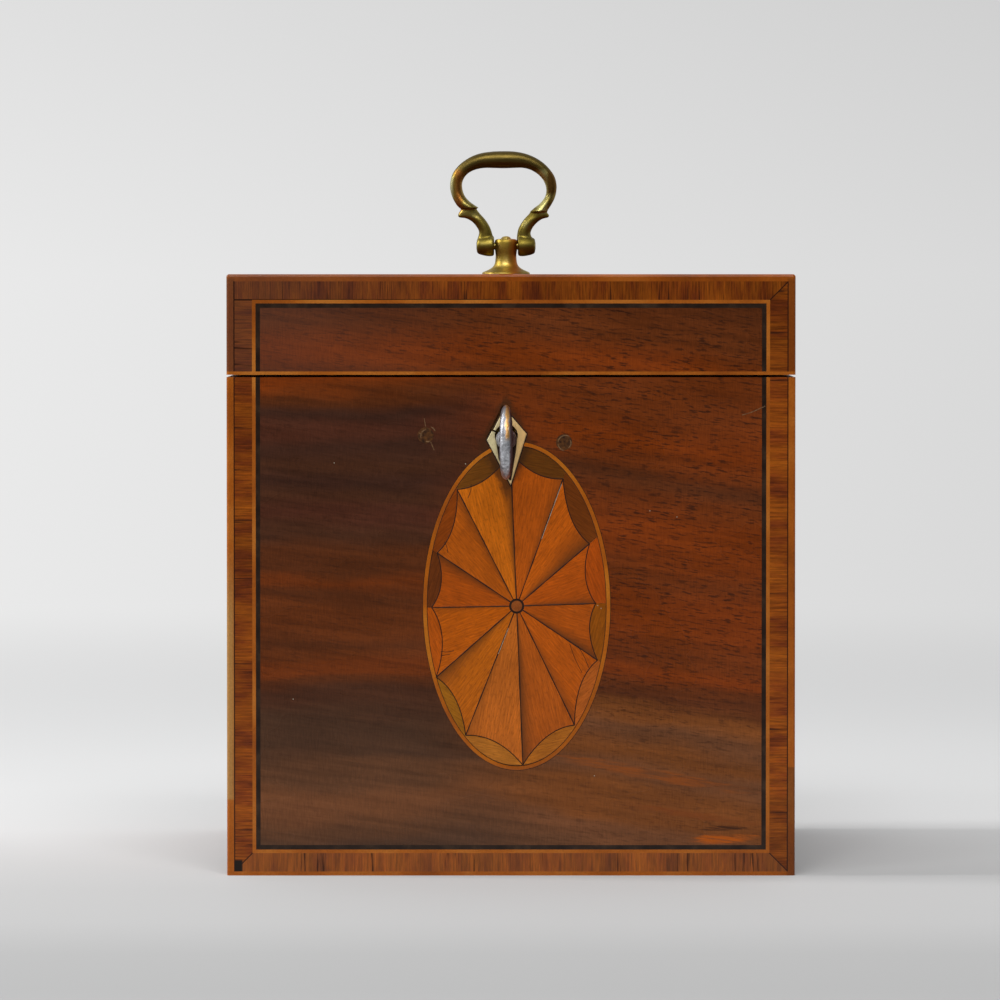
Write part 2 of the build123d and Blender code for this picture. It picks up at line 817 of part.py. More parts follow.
collar_back = -half_depth - collar_gap
with BuildPart() as key:
    with BuildSketch(Plane(origin=(lock_x, 0, key_z))):
        with BuildLine():
            Polyline(
                (barrel_bore, key_tip),
                (shank_radius, key_tip),
                (shank_radius, collar_back),
                (collar_radius, collar_back),
                (collar_radius, collar_back - collar_length),
                (shank_radius, collar_back - collar_length),
                (bow_thickness / 2, bow_back - bow_band / 2),
                (0, bow_back - bow_band / 2),
                (0, key_tip - barrel_depth),
                (barrel_bore, key_tip - barrel_depth),
                close=True,
            )
        make_face()
    revolve(axis=Axis((lock_x, 0, key_z), (0, 1, 0)))
    bit_back = key_tip
    bit_edge = (barrel_bore + shank_radius) / 2
    lock_block(
        (-bit_thickness / 2, bit_thickness / 2), (-bit_radius, -bit_edge), Mode.ADD, (bit_front, bit_back)
    )
    ward_y = (bit_front + bolt_front) / 2
    lock_block(
        (-bit_thickness / 2, bit_thickness / 2),
        (-bit_radius, ward_depth - bit_radius),
        Mode.SUBTRACT,
        (ward_y - ward_width / 2, ward_y + ward_width / 2),
    )
    add(key_bow.part)
key.part.label = "key"

# Handle
handle_plane = facing_front(handle_x, 0, lid_top)
handle_axis = Axis((handle_x, 0, lid_top), (0, 0, 1))
pivot_z = lid_top + pivot_height

stud_end = lid_roof + play - lid_top
with BuildPart() as handle_post:
    with BuildSketch(handle_plane):
        with BuildLine():
            Polyline((0, stud_end), (stud_radius, stud_end), (stud_radius, 0), (foot_radius, 0))
            Line((foot_radius, 0), foot_flare[0])
            ThreePointArc(*foot_flare)
            Polyline(foot_flare[2], (head_radius, pivot_height), (head_radius, head_top - head_round))
            shoulder = (head_radius - head_round, head_top)
            TangentArc((head_radius, head_top - head_round), shoulder, tangent=(0, 1))
            Line(shoulder, (dome_radius, head_top))
            TangentArc((0, head_top + head_round), (dome_radius, head_top), tangent=(1, 0))
            Line((0, head_top + head_round), (0, stud_end))
        make_face()
    revolve(axis=handle_axis)
    with Locations(Location((handle_x, 0, pivot_z), (0, 90, 0))):
        Cylinder(handle_pin_radius + fit_play, 2 * foot_radius, mode=Mode.SUBTRACT)
handle_post.part.label = "handle_post"

ear_inner = head_radius + play
ear_outer = ear_inner + ear_width
with BuildPart() as handle_pin:
    with Locations(Location((handle_x, 0, pivot_z), (0, 90, 0))):
        Cylinder(handle_pin_radius, 2 * ear_outer)
handle_pin.part.label = "handle_pin"

with BuildPart() as handle_washer:
    with BuildSketch(Plane(origin=(handle_x, 0, recess_top - washer))):
        Circle(washer_radius)
        Circle(stud_radius + pin_play, mode=Mode.SUBTRACT)
    extrude(amount=washer)
handle_washer.part.label = "handle_washer"

with BuildPart() as handle_nut:
    with BuildSketch(Plane(origin=(handle_x, 0, recess_top - washer - nut))):
        Rectangle(nut_across, nut_across)
        Circle(stud_radius + fit_play, mode=Mode.SUBTRACT)
    extrude(amount=nut)
handle_nut.part.label = "handle_nut"

with BuildPart() as right_half:
    with BuildLine(handle_plane) as loop_path:
        crown = ThreePointArc(
            (0, loop_top),
            (grip_half_length / 2, loop_top - 0.25 * (loop_top - shoulder_top)),
            (grip_half_length, shoulder_top),
        )
        shoulder = TangentArc(crown @ 1, (loop_half_width, loop_widest), tangent=crown % 1)
        TangentArc(shoulder @ 1, loop_end, tangent=shoulder % 1)
    with BuildSketch(Plane(origin=loop_path.line @ 0, z_dir=loop_path.line % 0)):
        Circle(bar_radius)
    sweep(path=loop_path.line)

with BuildPart() as right_arm:
    with BuildLine(handle_plane) as arm_path:
        rise = Line((arm_x, pivot_height), (arm_x, arm_straight))
        TangentArc(rise @ 1, arm_end, tangent=rise % 1)
    with BuildSketch(Plane(origin=arm_path.line @ 0, z_dir=arm_path.line % 0)):
        Circle(bar_radius)
    sweep(path=arm_path.line)
    with BuildSketch(handle_plane):
        with BuildLine():
            Polyline(*loop_leaf, close=True)
        make_face()
    extrude(amount=loop_leaf_thickness / 2, both=True)
    with Locations(Location((handle_x + (ear_inner + ear_outer) / 2, 0, pivot_z), (0, 90, 0))):
        Cylinder(ear_radius, ear_width)

with BuildPart() as grip:
    with BuildSketch(handle_plane):
        with BuildLine():
            Line((-grip_half_length, loop_top), (-grip_half_length, loop_top + bar_radius / 2))
            ThreePointArc(
                (-grip_half_length, loop_top + bar_radius / 2),
                (0, loop_top + grip_radius),
                (grip_half_length, loop_top + bar_radius / 2),
            )
            Line((grip_half_length, loop_top + bar_radius / 2), (grip_half_length, loop_top))
            Line((grip_half_length, loop_top), (-grip_half_length, loop_top))
        make_face()
    revolve(axis=Axis((handle_x, 0, lid_top + loop_top), (1, 0, 0)))

with BuildPart() as handle_loop:
    add(right_half.part)
    add(right_arm.part)
    mirror(about=Plane.YZ.offset(handle_x))
    add(grip.part)
    with Locations(Location((handle_x, 0, pivot_z), (0, 90, 0))):
        Cylinder(head_radius + play, 2 * ear_inner, mode=Mode.SUBTRACT)
        Cylinder(handle_pin_radius + pin_play, 2 * ear_outer, mode=Mode.SUBTRACT)
handle_loop.part.label = "handle_loop"

pieces = [
    base_board.part,
    front_board.part,
    back_board.part,
    left_board.part,
    right_board.part,
    well_lining.part,
    front_veneer.part,
    back_veneer.part,
    left_veneer.part,
    right_veneer.part,
    front_crossbanding,
    front_boxwood_line,
    front_ebony_line,
    body_edging,
    patera_line.part,
    patera_fan_leaves,
    patera_scallops,
    boss_ring.part,
    boss_dot.part,
    hole_fillings.part,
    escutcheon.part,
    plate.part,
    cap.part,
    drill_pin.part,
    lock_spring.part,
    lock_screws.part,
    bolt.part,
    key.part,
    body_hinge_leaves,
    hinge_pins.part,
    body_hinge_screws.part,
    lid_hinge_leaves,
    lid_hinge_screws.part,
    lid_front_board.part,
    lid_back_board.part,
    lid_left_board.part,
    lid_right_board.part,
    lid_top_board.part,
    lid_top_veneer.part,
    lid_front_veneer.part,
    lid_back_veneer.part,
    lid_left_veneer.part,
    lid_right_veneer.part,
    lid_crossbanding,
    lid_boxwood_line,
    lid_ebony_line,
    lid_edging,
    lid_rim_line,
    link_plate.part,
    link_plate_screws.part,
    handle_post.part,
    handle_nut.part,
    handle_washer.part,
    handle_pin.part,
    handle_loop.part,
]

os.makedirs("parts", exist_ok=True)
for piece in pieces:
    export_step(piece, f"parts/{piece.label}.step")
    print(piece.label, len(piece.solids()), "solids", round(piece.volume, 1), "mm3")
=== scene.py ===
import math

import bmesh
import bpy
import numpy as np
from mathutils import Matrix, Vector


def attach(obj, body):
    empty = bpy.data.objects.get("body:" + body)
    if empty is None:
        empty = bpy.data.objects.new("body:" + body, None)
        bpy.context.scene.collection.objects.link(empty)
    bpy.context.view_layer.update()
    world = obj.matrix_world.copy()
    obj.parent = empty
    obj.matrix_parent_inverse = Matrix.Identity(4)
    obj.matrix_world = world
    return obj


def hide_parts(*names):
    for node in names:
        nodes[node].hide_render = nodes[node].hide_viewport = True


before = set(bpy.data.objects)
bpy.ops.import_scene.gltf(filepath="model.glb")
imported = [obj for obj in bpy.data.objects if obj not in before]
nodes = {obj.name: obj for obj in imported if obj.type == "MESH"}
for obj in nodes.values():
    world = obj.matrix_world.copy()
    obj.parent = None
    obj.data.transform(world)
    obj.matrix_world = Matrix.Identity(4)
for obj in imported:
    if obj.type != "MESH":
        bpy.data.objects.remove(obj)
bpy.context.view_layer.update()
print("frame loaded,", len(nodes), "nodes")

mm = 0.001
front = -59.0  # the polished face of the front, as y in mm
lidTop = 127.0
handleX = -1.0
keyX, keyZ = -1.0, 92.3


# Colours and nodes

# sRGB hex turned to linear light, with full alpha
def linear(code):
    parts = [int(code[i:i + 2], 16) / 255 for i in (0, 2, 4)]
    return [c / 12.92 if c <= 0.04045 else ((c + 0.055) / 1.055) ** 2.4 for c in parts] + [1.0]


def isSocket(value):
    return isinstance(value, bpy.types.NodeSocket)


# Adds a node, sets it, fills or links its inputs, and gives back its first live output. Its tree is the one
# given, or else the one that its first linked input comes from.
def addNode(kind, inputs, tree=None, **settings):
    tree = tree or next(value for value in inputs.values() if isSocket(value)).id_data
    node = tree.nodes.new("ShaderNode" + kind)
    for key, value in settings.items():
        setattr(node, key, value)
    for key, value in inputs.items():
        if isSocket(value):
            tree.links.new(value, node.inputs[key])
        else:
            node.inputs[key].default_value = value
    return next(s for s in node.outputs if s.enabled)


# The x, y and z of a place
def split(place):
    return addNode("SeparateXYZ", {0: place}).node.outputs


def maths(operation, *inputs, **settings):
    return addNode("Math", dict(enumerate(inputs)), operation=operation, **settings)


# The first input times each of the others in turn
def product(result, *factors):
    for factor in factors:
        result = maths("MULTIPLY", result, factor)
    return result


# A value that goes from one level to another while its input goes from low to high
def ranged(value, low, high, start=0.0, end=1.0, smooth=False):
    levels = {"Value": value, "From Min": low, "From Max": high, "To Min": start, "To Max": end}
    return addNode("MapRange", levels, interpolation_type="SMOOTHSTEP" if smooth else "LINEAR")


# From the first colour, a socket or a hex code, to the second by a share
def blended(share, first, second):
    first, second = (linear(c) if isinstance(c, str) else c for c in (first, second))
    return addNode("Mix", {0: share, 6: first, 7: second}, data_type="RGBA")


# The same for two plain values
def chosen(share, first, second):
    return addNode("Mix", {0: share, 2: first, 3: second}, data_type="FLOAT")


def darkened(colour, grey):
    return addNode("Mix", {0: 1.0, 6: colour, 7: grey}, data_type="RGBA", blend_type="MULTIPLY")


# Colour ramp over a value, from pairs of a position and a hex code
def ramp(value, stops, between="LINEAR"):
    colour = addNode("ValToRGB", {0: value})
    band = colour.node.color_ramp
    band.interpolation = between
    band.elements.remove(band.elements[1])
    band.elements[0].position = stops[0][0]
    band.elements[0].color = linear(stops[0][1])
    for position, code in stops[1:]:
        band.elements.new(position).color = linear(code)
    return colour


# A new material with its surface shader and the place in mm that its patterns read
def startMaterial(name, look, **surface):
    material = bpy.data.materials.new(name)
    material.use_nodes = True
    tree = material.node_tree
    shader = tree.nodes["Principled BSDF"]
    material.diffuse_color = linear(look)
    shader.inputs["Base Color"].default_value = linear(look)
    for key, value in surface.items():
        shader.inputs[key.replace("_", " ")].default_value = value
    objectPlace = tree.nodes.new("ShaderNodeTexCoord").outputs["Object"]
    place = addNode("VectorMath", {0: objectPlace, "Scale": 1 / mm}, operation="SCALE")
    return material, shader, place


# Joins a colour, a relief of a depth in mm and a roughness to the surface shader
def finished(shader, colour, relief=None, strength=0.2, depth=0.04, rough=None, **settings):
    joints = {"Base Color": colour, "Roughness": rough}
    if relief is not None:
        heights = {"Height": relief, "Strength": strength, "Distance": depth * mm}
        joints["Normal"] = addNode("Bump", heights, **settings)
    for key, socket in joints.items():
        if socket is not None:
            socket.id_data.links.new(socket, shader.inputs[key])


# A noise stretched by size in mm along x, y and z, after a turn in degrees about y
def grainNoise(place, size, detail=3.0, roughness=0.55, turn=0.0, shift=0.0):
    laid = addNode("Mapping", {
        "Vector": place, "Rotation": (0, math.radians(turn), 0), "Location": (shift, shift, shift)})
    stretched = addNode("VectorMath", {0: laid, 1: tuple(1 / s for s in size)}, operation="MULTIPLY")
    return addNode("TexNoise", {"Vector": stretched, "Scale": 1.0, "Detail": detail, "Roughness": roughness})


# Base colour multiplied by a grey that goes between two levels as the pattern goes over a span
def shaded(colour, pattern, levels, span=(0.3, 0.7)):
    return darkened(colour, ranged(pattern, *span, *levels))


# Surfaces

# Two-way grid of corner numbers made into quads; a closed direction joins its last line to its first
def gridFaces(rows, columns, closeRows, closeColumns, start):
    index = np.arange(rows * columns).reshape(rows, columns) + start
    if closeRows:
        index = np.vstack([index, index[:1]])
    if closeColumns:
        index = np.hstack([index, index[:, :1]])
    return np.stack([index[:-1, :-1], index[:-1, 1:], index[1:, 1:], index[1:, :-1]], -1).reshape(-1, 4)


# One object from grids of points in mm: seams and poles are merged, and faces turned outwards
def makePiece(name, grids, material, body, replaced=(), values=None, uv=None):
    corners, faces, start = [], [], 0
    for points, closeRows, closeColumns in grids:
        rows, columns = points.shape[:2]
        faces.append(gridFaces(rows, columns, closeRows, closeColumns, start))
        corners.append(points.reshape(-1, 3))
        start += rows * columns
    mesh = bpy.data.meshes.new(name)
    mesh.from_pydata((np.concatenate(corners) * mm).tolist(), [], np.concatenate(faces).tolist())
    for key, parts in (values or {}).items():
        layer = mesh.attributes.new(key, "FLOAT", "POINT")
        layer.data.foreach_set("value", np.concatenate([np.ravel(p) for p in parts]).astype(np.float32))
    if uv is not None:
        flat = np.concatenate([p.reshape(-1, 2) for p in uv])
        loops = np.empty(len(mesh.loops), np.int32)
        mesh.loops.foreach_get("vertex_index", loops)
        mesh.uv_layers.new(name="grain").data.foreach_set("uv", flat[loops].astype(np.float32).ravel())
    shape = bmesh.new()
    shape.from_mesh(mesh)
    bmesh.ops.remove_doubles(shape, verts=shape.verts, dist=2e-6)
    rims = [e for e in shape.edges if e.is_boundary]
    if rims:
        bmesh.ops.holes_fill(shape, edges=rims, sides=0)
    bmesh.ops.recalc_face_normals(shape, faces=shape.faces)
    shape.to_mesh(mesh)
    shape.free()
    mesh.polygons.foreach_set("use_smooth", np.ones(len(mesh.polygons), bool))
    mesh.set_sharp_from_angle(angle=math.radians(35))
    mesh.materials.append(material)
    piece = bpy.data.objects.new(name, mesh)
    bpy.context.scene.collection.objects.link(piece)
    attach(piece, body)
    if replaced:
        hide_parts(*replaced)
    return piece


# Smooth line through given points: cubic pieces whose slopes come from the points on both sides
def smoothLine(points, count):
    points = np.asarray(points, float)
    knots = np.concatenate([[0], np.cumsum(np.linalg.norm(np.diff(points, axis=0), axis=1))])
    slopes = np.gradient(points, knots, axis=0)
    at = np.linspace(0, knots[-1], count)
    k = np.clip(np.searchsorted(knots, at, side="right") - 1, 0, len(knots) - 2)
    width = (knots[k + 1] - knots[k])[:, None]
    u = (at - knots[k])[:, None] / width
    return (
        (2 * u**3 - 3 * u**2 + 1) * points[k]
        + (u**3 - 2 * u**2 + u) * width * slopes[k]
        + (3 * u**2 - 2 * u**3) * points[k + 1]
        + (u**3 - u**2) * width * slopes[k + 1]
    )


# One step in the direction of a turn
def heading(turn):
    return np.stack([np.cos(turn), np.sin(turn)], -1)


# Rings with a tube's two ends closed: the first and the last one are shrunk to their centres and added
def capped(rings):
    caps = [np.repeat(ring.mean(0)[None, None], rings.shape[1], 1) for ring in (rings[0], rings[-1])]
    return np.concatenate([caps[0], rings, caps[1]])


# Tube between two rails drawn in the x-z plane: each ring is an ellipse from one rail to the other, with a
# half depth in y
def railTube(rails, depth, sides, y=0.0):
    outer, inner = rails[:, None, :2], rails[:, None, 2:4]
    turn = np.linspace(0, 2 * np.pi, sides, endpoint=False)[None, :, None]
    flat = (outer + inner) / 2 + (outer - inner) / 2 * np.cos(turn)
    deep = y + np.broadcast_to(np.asarray(depth, float).reshape(-1, 1, 1), flat[..., :1].shape) * np.sin(turn)
    rings = np.concatenate([flat[..., :1], deep, flat[..., 1:]], -1)
    return capped(rings)


# Turned shape: a profile of radius and height goes round an axis through the centre
def lathe(profile, centre, axis, sides=96):
    profile = np.asarray(profile, float)
    turn = np.linspace(0, 2 * np.pi, sides, endpoint=False)
    radius, along = profile[:, :1], np.repeat(profile[:, 1:], sides, 1)
    ring = [radius * np.cos(turn), radius * np.sin(turn)]
    order = {"x": [along, *ring], "y": [ring[0], along, ring[1]], "z": [*ring, along]}[axis]
    return np.stack(order, -1) + np.asarray(centre, float)


# Thin inlaid line on the front, as a grid for makePiece: a path in x and z carries a flat ellipse, a width
# across and a little proud
def frontLine(path, width, proud, closed=False, sides=8):
    path = np.asarray(path, float)
    ahead = np.roll(path, -1, 0) - np.roll(path, 1, 0) if closed else np.gradient(path, axis=0)
    ahead /= np.linalg.norm(ahead, axis=1)[:, None]
    across = np.stack([-ahead[:, 1], ahead[:, 0]], -1) * np.asarray(width, float).reshape(-1, 1) / 2
    rails = np.hstack([path + across, path - across])
    tube = railTube(rails, np.full(len(path), proud), sides, front)
    return (tube[1:-1] if closed else tube), closed, True


# Mahogany

figure = {
    "look": "5a3019",
    # height in mm on the left half of the front, and the tone of the ribbon there
    "left": {0: "dusk", 6.5: "dusk", 11: "mist", 14.5: "fox", 17: "fox", 21: "mist", 24: "mist", 27: "slate",
             31: "slate", 37: "dark", 40.5: "brown", 42.5: "ember", 45: "ember", 47.5: "rust", 50: "brown",
             54: "rust", 57.5: "rust", 59.5: "brown", 62: "ember", 65: "brown", 68: "brown", 72: "dark",
             76: "plum", 79: "dark", 83: "night", 88: "dark", 92: "night", 95: "plum", 98: "night",
             100.5: "brown", 102.7: "ember", 104.5: "amber"},
    "right": {0: "dusk", 9: "mist", 14: "fox", 17: "russet", 21.5: "russet", 26: "fox", 30: "russet", 35: "fox",
              38.5: "russet", 41.5: "brown", 44.5: "rust", 48: "amber", 52: "ember", 58: "amber", 64: "amber",
              70: "ember", 76: "amber", 80: "amber", 84: "ember", 88: "brown", 92: "ember", 98: "amber",
              104: "ember"},
    "plain": {0: "dark", 7: "brown", 13: "ember", 18: "brown", 25: "rust", 31: "amber", 37: "brown", 45: "ember",
              52: "rust", 60: "dark", 66: "ember", 74: "rust", 82: "brown", 90: "amber", 98: "rust", 104: "brown"},
    "tones": {"russet": "73401a", "night": "3d2318", "dark": "472818", "dusk": "4d3425", "slate": "492f1f",
              "plum": "4c281a", "brown": "552a11", "rust": "602e10", "ember": "682f0d", "amber": "753209",
              "mist": "5b3923", "fox": "6a4025"},
    "height": 106.0,  # the height in mm over which the ribbons are laid
    "sway": 3.4,  # how far a ribbon wanders up or down
    # places across between which the ribbons climb, and between which those of the right half take over
    "climb": (-8.0, 53.0),
    "meet": (-22.0, 14.0),
    # places and the share of the pores at them: across the front, up it, and across the lid's front
    "frontPores": (-16.0, 18.0, 0.3),
    "lowPores": (24.0, 46.0, 0.4, 1.0),
    "lidPores": (-45.0, 5.0, 0.4),
    "glossVary": 0.04,
    "tilt": -8.5,  # the grain's turn in degrees on the upright faces
    "poreTone": "2a1409",
    # an orange flame low on the right with a dark stroke over it, and two long orange streaks above them
    "marks": [{"at": (45.6, 0, 7.8), "size": (9.0, 500, 1.3), "turn": -3.0, "tone": "a8500c", "share": 1.0},
              {"at": (44.5, 0, 10.0), "size": (7.0, 500, 0.8), "turn": -2.0, "tone": "2c160b", "share": 0.8},
              {"at": (31.0, 0, 21.2), "size": (25.0, 500, 1.6), "turn": 10.5, "tone": "8c4716", "share": 0.75},
              {"at": (39.0, 0, 12.8), "size": (17.0, 500, 1.2), "turn": 9.0, "tone": "7d3f17", "share": 0.6}],
    # half sizes of the kite of grime round the escutcheon, and how far below the keyhole its middle lies
    "grime": {"across": 5.6, "up": 10.6, "drop": 1.4, "ragged": 0.25, "share": 0.72, "tone": "3b2412"},
    # places across the lid between which the haze grows towards the left
    "haze": {"from": -4.0, "to": -50.0, "share": 0.32, "tone": "4a3a35"},
    # heights between which the polish turns dull, just under the lid's top
    "dusted": {"from": 126.75, "to": 126.95, "rough": 0.62},
    "polish": {"Roughness": 0.28, "IOR": 1.45, "Specular_IOR_Level": 0.22, "Coat_Weight": 0.05,
               "Coat_Roughness": 0.15},
    "wornPolish": {"Roughness": 0.58, "IOR": 1.45, "Specular_IOR_Level": 0.08},
}


# Ribbon tones as ramp stops over the ribbons' height
def ribbons(name):
    return [(min(level / figure["height"], 1), figure["tones"][tone]) for level, tone in figure[name].items()]


# Grime gathered round the escutcheon, in the plate's own shape with a ragged edge
def grimed(place, colour):
    grime = figure["grime"]
    parts = split(place)
    across = maths("ABSOLUTE", maths("SUBTRACT", parts[0], keyX))
    up = maths("ABSOLUTE", maths("SUBTRACT", parts[2], keyZ - grime["drop"]))
    reach = maths("ADD", maths("DIVIDE", across, grime["across"]), maths("DIVIDE", up, grime["up"]))
    wander = grainNoise(place, (1.4, 1.4, 1.4), 3.0)
    reach = maths("ADD", reach, ranged(wander, 0.0, 1.0, -grime["ragged"], grime["ragged"]))
    dirt = ranged(reach, 1.2, 0.85, 0.0, grime["share"], smooth=True)
    return blended(dirt, colour, grime["tone"])


# Polish worn dull on the lid's top, where the box was dusted, and glossy everywhere else
def dulledOnTop(place):
    dusted = figure["dusted"]
    return ranged(split(place)[2], dusted["from"], dusted["to"], figure["polish"]["Roughness"], dusted["rough"])


# Colour turned greyish towards the lid's left end
def hazed(place, colour):
    haze = figure["haze"]
    share = ranged(split(place)[0], haze["from"], haze["to"], 0.0, haze["share"])
    return blended(share, colour, haze["tone"])


# One long mark in the figure: an ellipse that wanders, broken up into streaks
def marked(place, colour, mark):
    laid = addNode("Mapping", {
        "Vector": place, "Location": mark["at"], "Rotation": (0, math.radians(mark["turn"]), 0),
        "Scale": mark["size"]}, vector_type="TEXTURE")
    spread = addNode("VectorMath", {0: laid}, operation="LENGTH").node.outputs["Value"]
    spread = maths("ADD", spread, grainNoise(place, (5.0, 2.0, 0.5), 2.0))
    spot = ranged(spread, 1.45, 1.0, 0.0, mark["share"], smooth=True)
    streaks = grainNoise(place, (7.0, 2.0, 0.4), 3.0, 0.6, figure["tilt"])
    spot = product(spot, ranged(streaks, 0.4, 0.56, 0.2, 1.0))
    return blended(spot, colour, mark["tone"])


# Mahogany veneer, planed and French polished: broad silky ribbons, short dark pores and a warm, soft gloss
def mahogany(name, across, up, kind, lift=0.0, slope=0.0, pores=0.75):
    polish = figure["wornPolish"] if kind == "top" else figure["polish"]
    material, shader, place = startMaterial(name, figure["look"], **polish)
    parts = split(place)
    side, height = parts[across], parts[up]
    tilt = figure["tilt"] if up == 2 else 0.0

    # a noise with a size along the grain, one across it and one into the wood
    def grain(along, upward, deep, *settings):
        size = [deep, deep, deep]
        size[across], size[up] = along, upward
        return grainNoise(place, size, *settings)

    sway = ranged(grain(55.0, 14.0, 14.0, 2.5, 0.6), 0.25, 0.75, lift - figure["sway"], lift + figure["sway"])
    climb = ranged(side, *figure["climb"], 0.0, slope)
    level = maths("ADD", maths("ADD", height, sway), climb)
    share = maths("DIVIDE", level, figure["height"])
    colour = ramp(share, ribbons("left" if kind == "front" else "plain"), "EASE")
    poreShare = pores
    if kind == "front":  # other ribbons on its right half, and fewer pores on its left and near the foot
        rightColour = ramp(share, ribbons("right"), "EASE")
        colour = blended(ranged(side, *figure["meet"], smooth=True), colour, rightColour)
        poreShare = product(ranged(side, *figure["frontPores"], pores), ranged(height, *figure["lowPores"]))
    elif kind == "lid":
        poreShare = ranged(side, *figure["lidPores"], pores)
    cloud = grainNoise(place, (22, 22, 12), 2.0, 0.5)
    colour = shaded(colour, grain(30.0, 1.5, 3.0, 3.0, 0.6, tilt), (0.8, 1.22))
    colour = shaded(colour, cloud, (0.88, 1.12))
    colour = shaded(colour, grain(0.3, 2.4, 0.5, 3.0, 0.6), (0.84, 1.16))
    pore = ranged(grain(2.7, 0.46, 0.5, 2.0, 0.6, tilt, 40.0), 0.52, 0.63)
    cluster = ranged(grainNoise(place, (10, 10, 4), 3.0, 0.6, tilt, 90.0), 0.3, 0.58, 0.25, 1.0)
    pore = product(pore, cluster, poreShare)
    colour = blended(pore, colour, figure["poreTone"])
    if kind == "front":
        for mark in figure["marks"]:
            colour = marked(place, colour, mark)
        colour = grimed(place, colour)
    elif kind == "lid":
        colour = hazed(place, colour)
    rough, vary = polish["Roughness"], figure["glossVary"]
    gloss = ranged(cloud, 0.3, 0.7, rough - vary, rough + vary)
    finished(shader, colour, pore, 0.3, rough=gloss, invert=True)
    return material


# Other woods

banding = {
    "look": "7a4218",
    "tones": [(0.33, "642b10"), (0.43, "7b380f"), (0.52, "89430e"), (0.66, "994f10")],
    # inner edges of the strips in mm: the upright ones, the lid's upper one, its top ones and the foot's
    "upright": 52.9,
    "lidFront": 119.9,
    "lidTop": 51.9,
    "foot": 6.45,
    "topFace": 126.5,  # a point above this height lies on the lid's top
    "butt": 1.7,  # the left upright strip ends this far above the upper one's inner edge
    "glue": (58.2, 58.35),
    "topShade": (0.73, 0.72),  # darkening of the lid's upper strip and of its upright ones
    "leftShade": (45.0, 70.0, 1.0, 0.84),  # heights on the case, and the darkening at them
    "rightShade": (16.6, 16.2, 1.08, 0.66),
    # painted sheen on the strip along the foot: its share and pale tone
    "footSheen": {"share": 0.11, "tone": "a07850"},
    "lines": {"levels": (0.39, 0.33, 0.0, 0.85), "tone": "2e150a"},
    "seam": {"levels": (0.22, 0.08), "tone": "20100a"},
    "wax": {"across": (-56.6, -56.9), "up": (3.5, 3.1), "tone": "1b130e"},
}


# Rosewood crossbanding, cut across the grain and polished: dark figure lines run across each strip
def crossbanding(name, onLid):
    material, shader, place = startMaterial(name, banding["look"], **figure["polish"])
    x, y, z = split(place)
    out = maths("ABSOLUTE", x)
    fromSide = maths("SUBTRACT", out, banding["upright"])
    if onLid:
        fromEdge = maths("SUBTRACT", z, banding["lidFront"])
        fromBack = maths("SUBTRACT", maths("ABSOLUTE", y), banding["lidTop"])
        above = maths("GREATER_THAN", z, banding["topFace"])
        edge = chosen(above, fromEdge, fromBack)
    else:
        above = 0.0
        edge = maths("SUBTRACT", banding["foot"], z)
    gap = maths("SUBTRACT", fromSide, edge)
    if onLid:  # mitred on the right; on the left the top strip runs through to the end
        gap = chosen(maths("LESS_THAN", x, 0.0), gap, maths("SUBTRACT", banding["butt"], edge))
    isSide = maths("GREATER_THAN", gap, 0.0)
    # x of the strip is the way it runs, so the figure changes fast along it and slowly across it
    upward = chosen(above, z, y)
    strip = addNode("CombineXYZ", {0: chosen(isSide, x, upward), 1: chosen(isSide, upward, x), 2: isSide})
    fine = grainNoise(strip, (0.36, 9.0, 1.0), 4.0, 0.75, shift=30.0)
    slow = grainNoise(strip, (15.0, 40.0, 1.0), 1.0, 0.5, shift=70.0)
    colour = ramp(grainNoise(strip, (3.2, 16.0, 1.0), 4.0, 0.62), banding["tones"])
    colour = shaded(colour, fine, (0.54, 1.3), (0.37, 0.63))
    colour = shaded(colour, slow, (0.84, 1.12), (0.35, 0.65))
    if onLid:  # the lid's strips have darkened
        colour = darkened(colour, ranged(isSide, 0.0, 1.0, *banding["topShade"]))
        colour = hazed(place, colour)
    else:  # on the case the left strip is browner near the top, the right one near the foot
        rightHalf = ranged(x, 50.0, 54.0)
        shade = chosen(rightHalf, ranged(z, *banding["leftShade"]), ranged(z, *banding["rightShade"]))
        colour = darkened(colour, shade)
        # painted sheen: the strip along the foot is mixed towards a pale tone, for the pale floor's reflection
        pale = ranged(isSide, 0.0, 1.0, banding["footSheen"]["share"], 0.0)
        colour = blended(pale, colour, banding["footSheen"]["tone"])
    # a few thin, nearly black figure lines, close together in places
    streak = grainNoise(strip, (1.1, 22.0, 1.0), 3.0, 0.6, shift=51.0)
    colour = blended(ranged(streak, *banding["lines"]["levels"]), colour, banding["lines"]["tone"])
    seam = ranged(maths("ABSOLUTE", gap), *banding["seam"]["levels"])
    seam = maths("MAXIMUM", seam, ranged(out, *banding["glue"]))
    colour = blended(seam, colour, banding["seam"]["tone"])
    if not onLid:  # the left foot corner is made up with black wax
        wax = banding["wax"]
        waxed = product(ranged(x, *wax["across"]), ranged(z, *wax["up"]))
        colour = blended(waxed, colour, wax["tone"])
    finished(shader, colour, fine, rough=dulledOnTop(place))
    return material


# Places in mm between which the edging's tone changes, and in some rows the shares at them
edging = {
    "worn": {"across": (-58.0, -59.0), "low": (70.0, 55.0), "foot": (15.9, 16.3), "share": 0.7, "tone": "a9824a"},
    "joint": {"across": (58.0, 58.6), "foot": (23.1, 22.8, 0.0, 0.55), "tone": "4a2410"},
    "upright": {"across": (58.1, 58.5, 0.0, 0.4), "low": (126.4, 125.8), "tone": "3c1a0a"},
}


